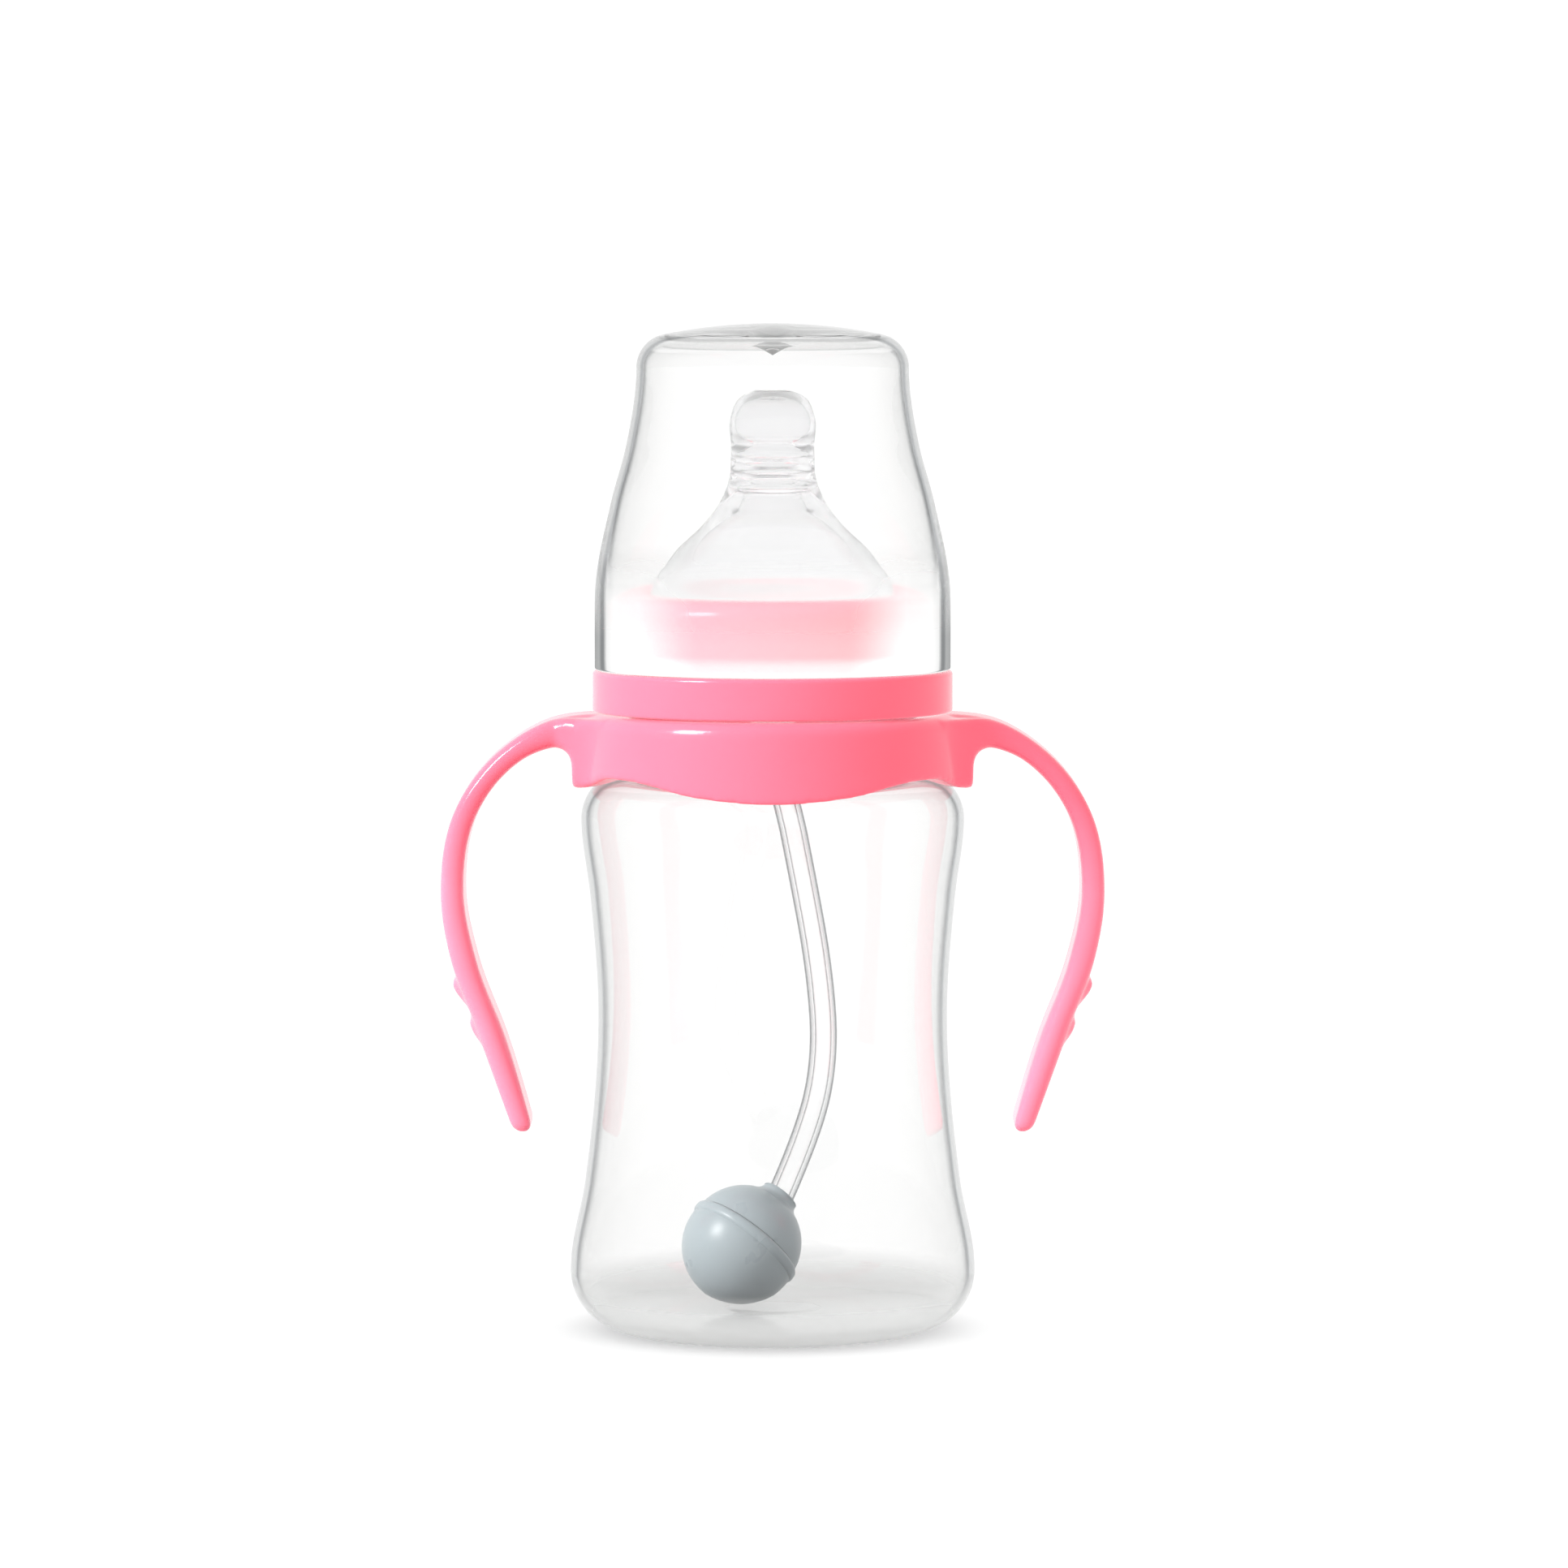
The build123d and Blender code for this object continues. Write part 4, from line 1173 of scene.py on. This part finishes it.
def make_world():
    """Even white surroundings."""
    world = bpy.data.worlds.new("studio")
    world.use_nodes = True
    back = world.node_tree.nodes["Background"]
    back.inputs["Color"].default_value = (1, 1, 1, 1)
    back.inputs["Strength"].default_value = WORLD_STRENGTH
    bpy.context.scene.world = world


def linking(name, *objects):
    """A light-linking collection that leaves the objects out."""
    group = bpy.data.collections.new(name)
    for obj in objects:
        group.objects.link(obj)
    for member in group.collection_objects:
        member.light_linking.link_state = "EXCLUDE"
    return group


def make_lights(floor, clear_pieces):
    """A broad key from the left and a softbox for highlights; the clear pieces and floor get neither."""
    sun = bpy.data.lights.new("key", "SUN")
    sun.energy = KEY_ENERGY
    sun.angle = KEY_ANGLE
    key = bpy.data.objects.new("key", sun)
    look(key, -KEY_DIRECTION)
    box = bpy.data.lights.new("softbox", "AREA")
    box.shape = "RECTANGLE"
    box.size, box.size_y = SOFTBOX_SIZE
    box.energy = SOFTBOX_POWER
    softbox = bpy.data.objects.new("softbox", box)
    softbox.location = SOFTBOX_DIRECTION * SOFTBOX_DISTANCE + SOFTBOX_AIM
    look(softbox, -SOFTBOX_DIRECTION)
    unlit = linking("unlit", floor, *clear_pieces)
    key.visible_glossy = False
    for light in (key, softbox):
        light.light_linking.receiver_collection = unlit


def set_view():
    """Plain colours, and enough bounces for walls behind walls."""
    scene = bpy.context.scene
    scene.view_settings.view_transform = "Standard"
    scene.cycles.max_bounces = 24
    scene.cycles.transmission_bounces = 20
    scene.cycles.glossy_bounces = 16
    scene.cycles.diffuse_bounces = 12
    scene.cycles.transparent_max_bounces = 16


# ================================================================ assembly
bottle = make_bottle()
handles = make_handles()
collar = make_collar()
cap = make_cap()
nipple = make_nipple()
make_disc()
for piece in (handles, collar):
    piece.visible_glossy = False    # no pink streaks in the clear walls
    piece.visible_diffuse = False   # no pink cast on the paper and the milky walls
ball_lower, ball_upper = make_ball()
straw_tube, straw_path = make_straw()
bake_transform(straw_tube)
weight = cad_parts["ball_weight"]
weight.data.materials.clear()
weight.data.materials.append(STEEL)
floor = make_floor()
make_world()
make_lights(floor, [bottle, cap, nipple, straw_tube])
set_view()
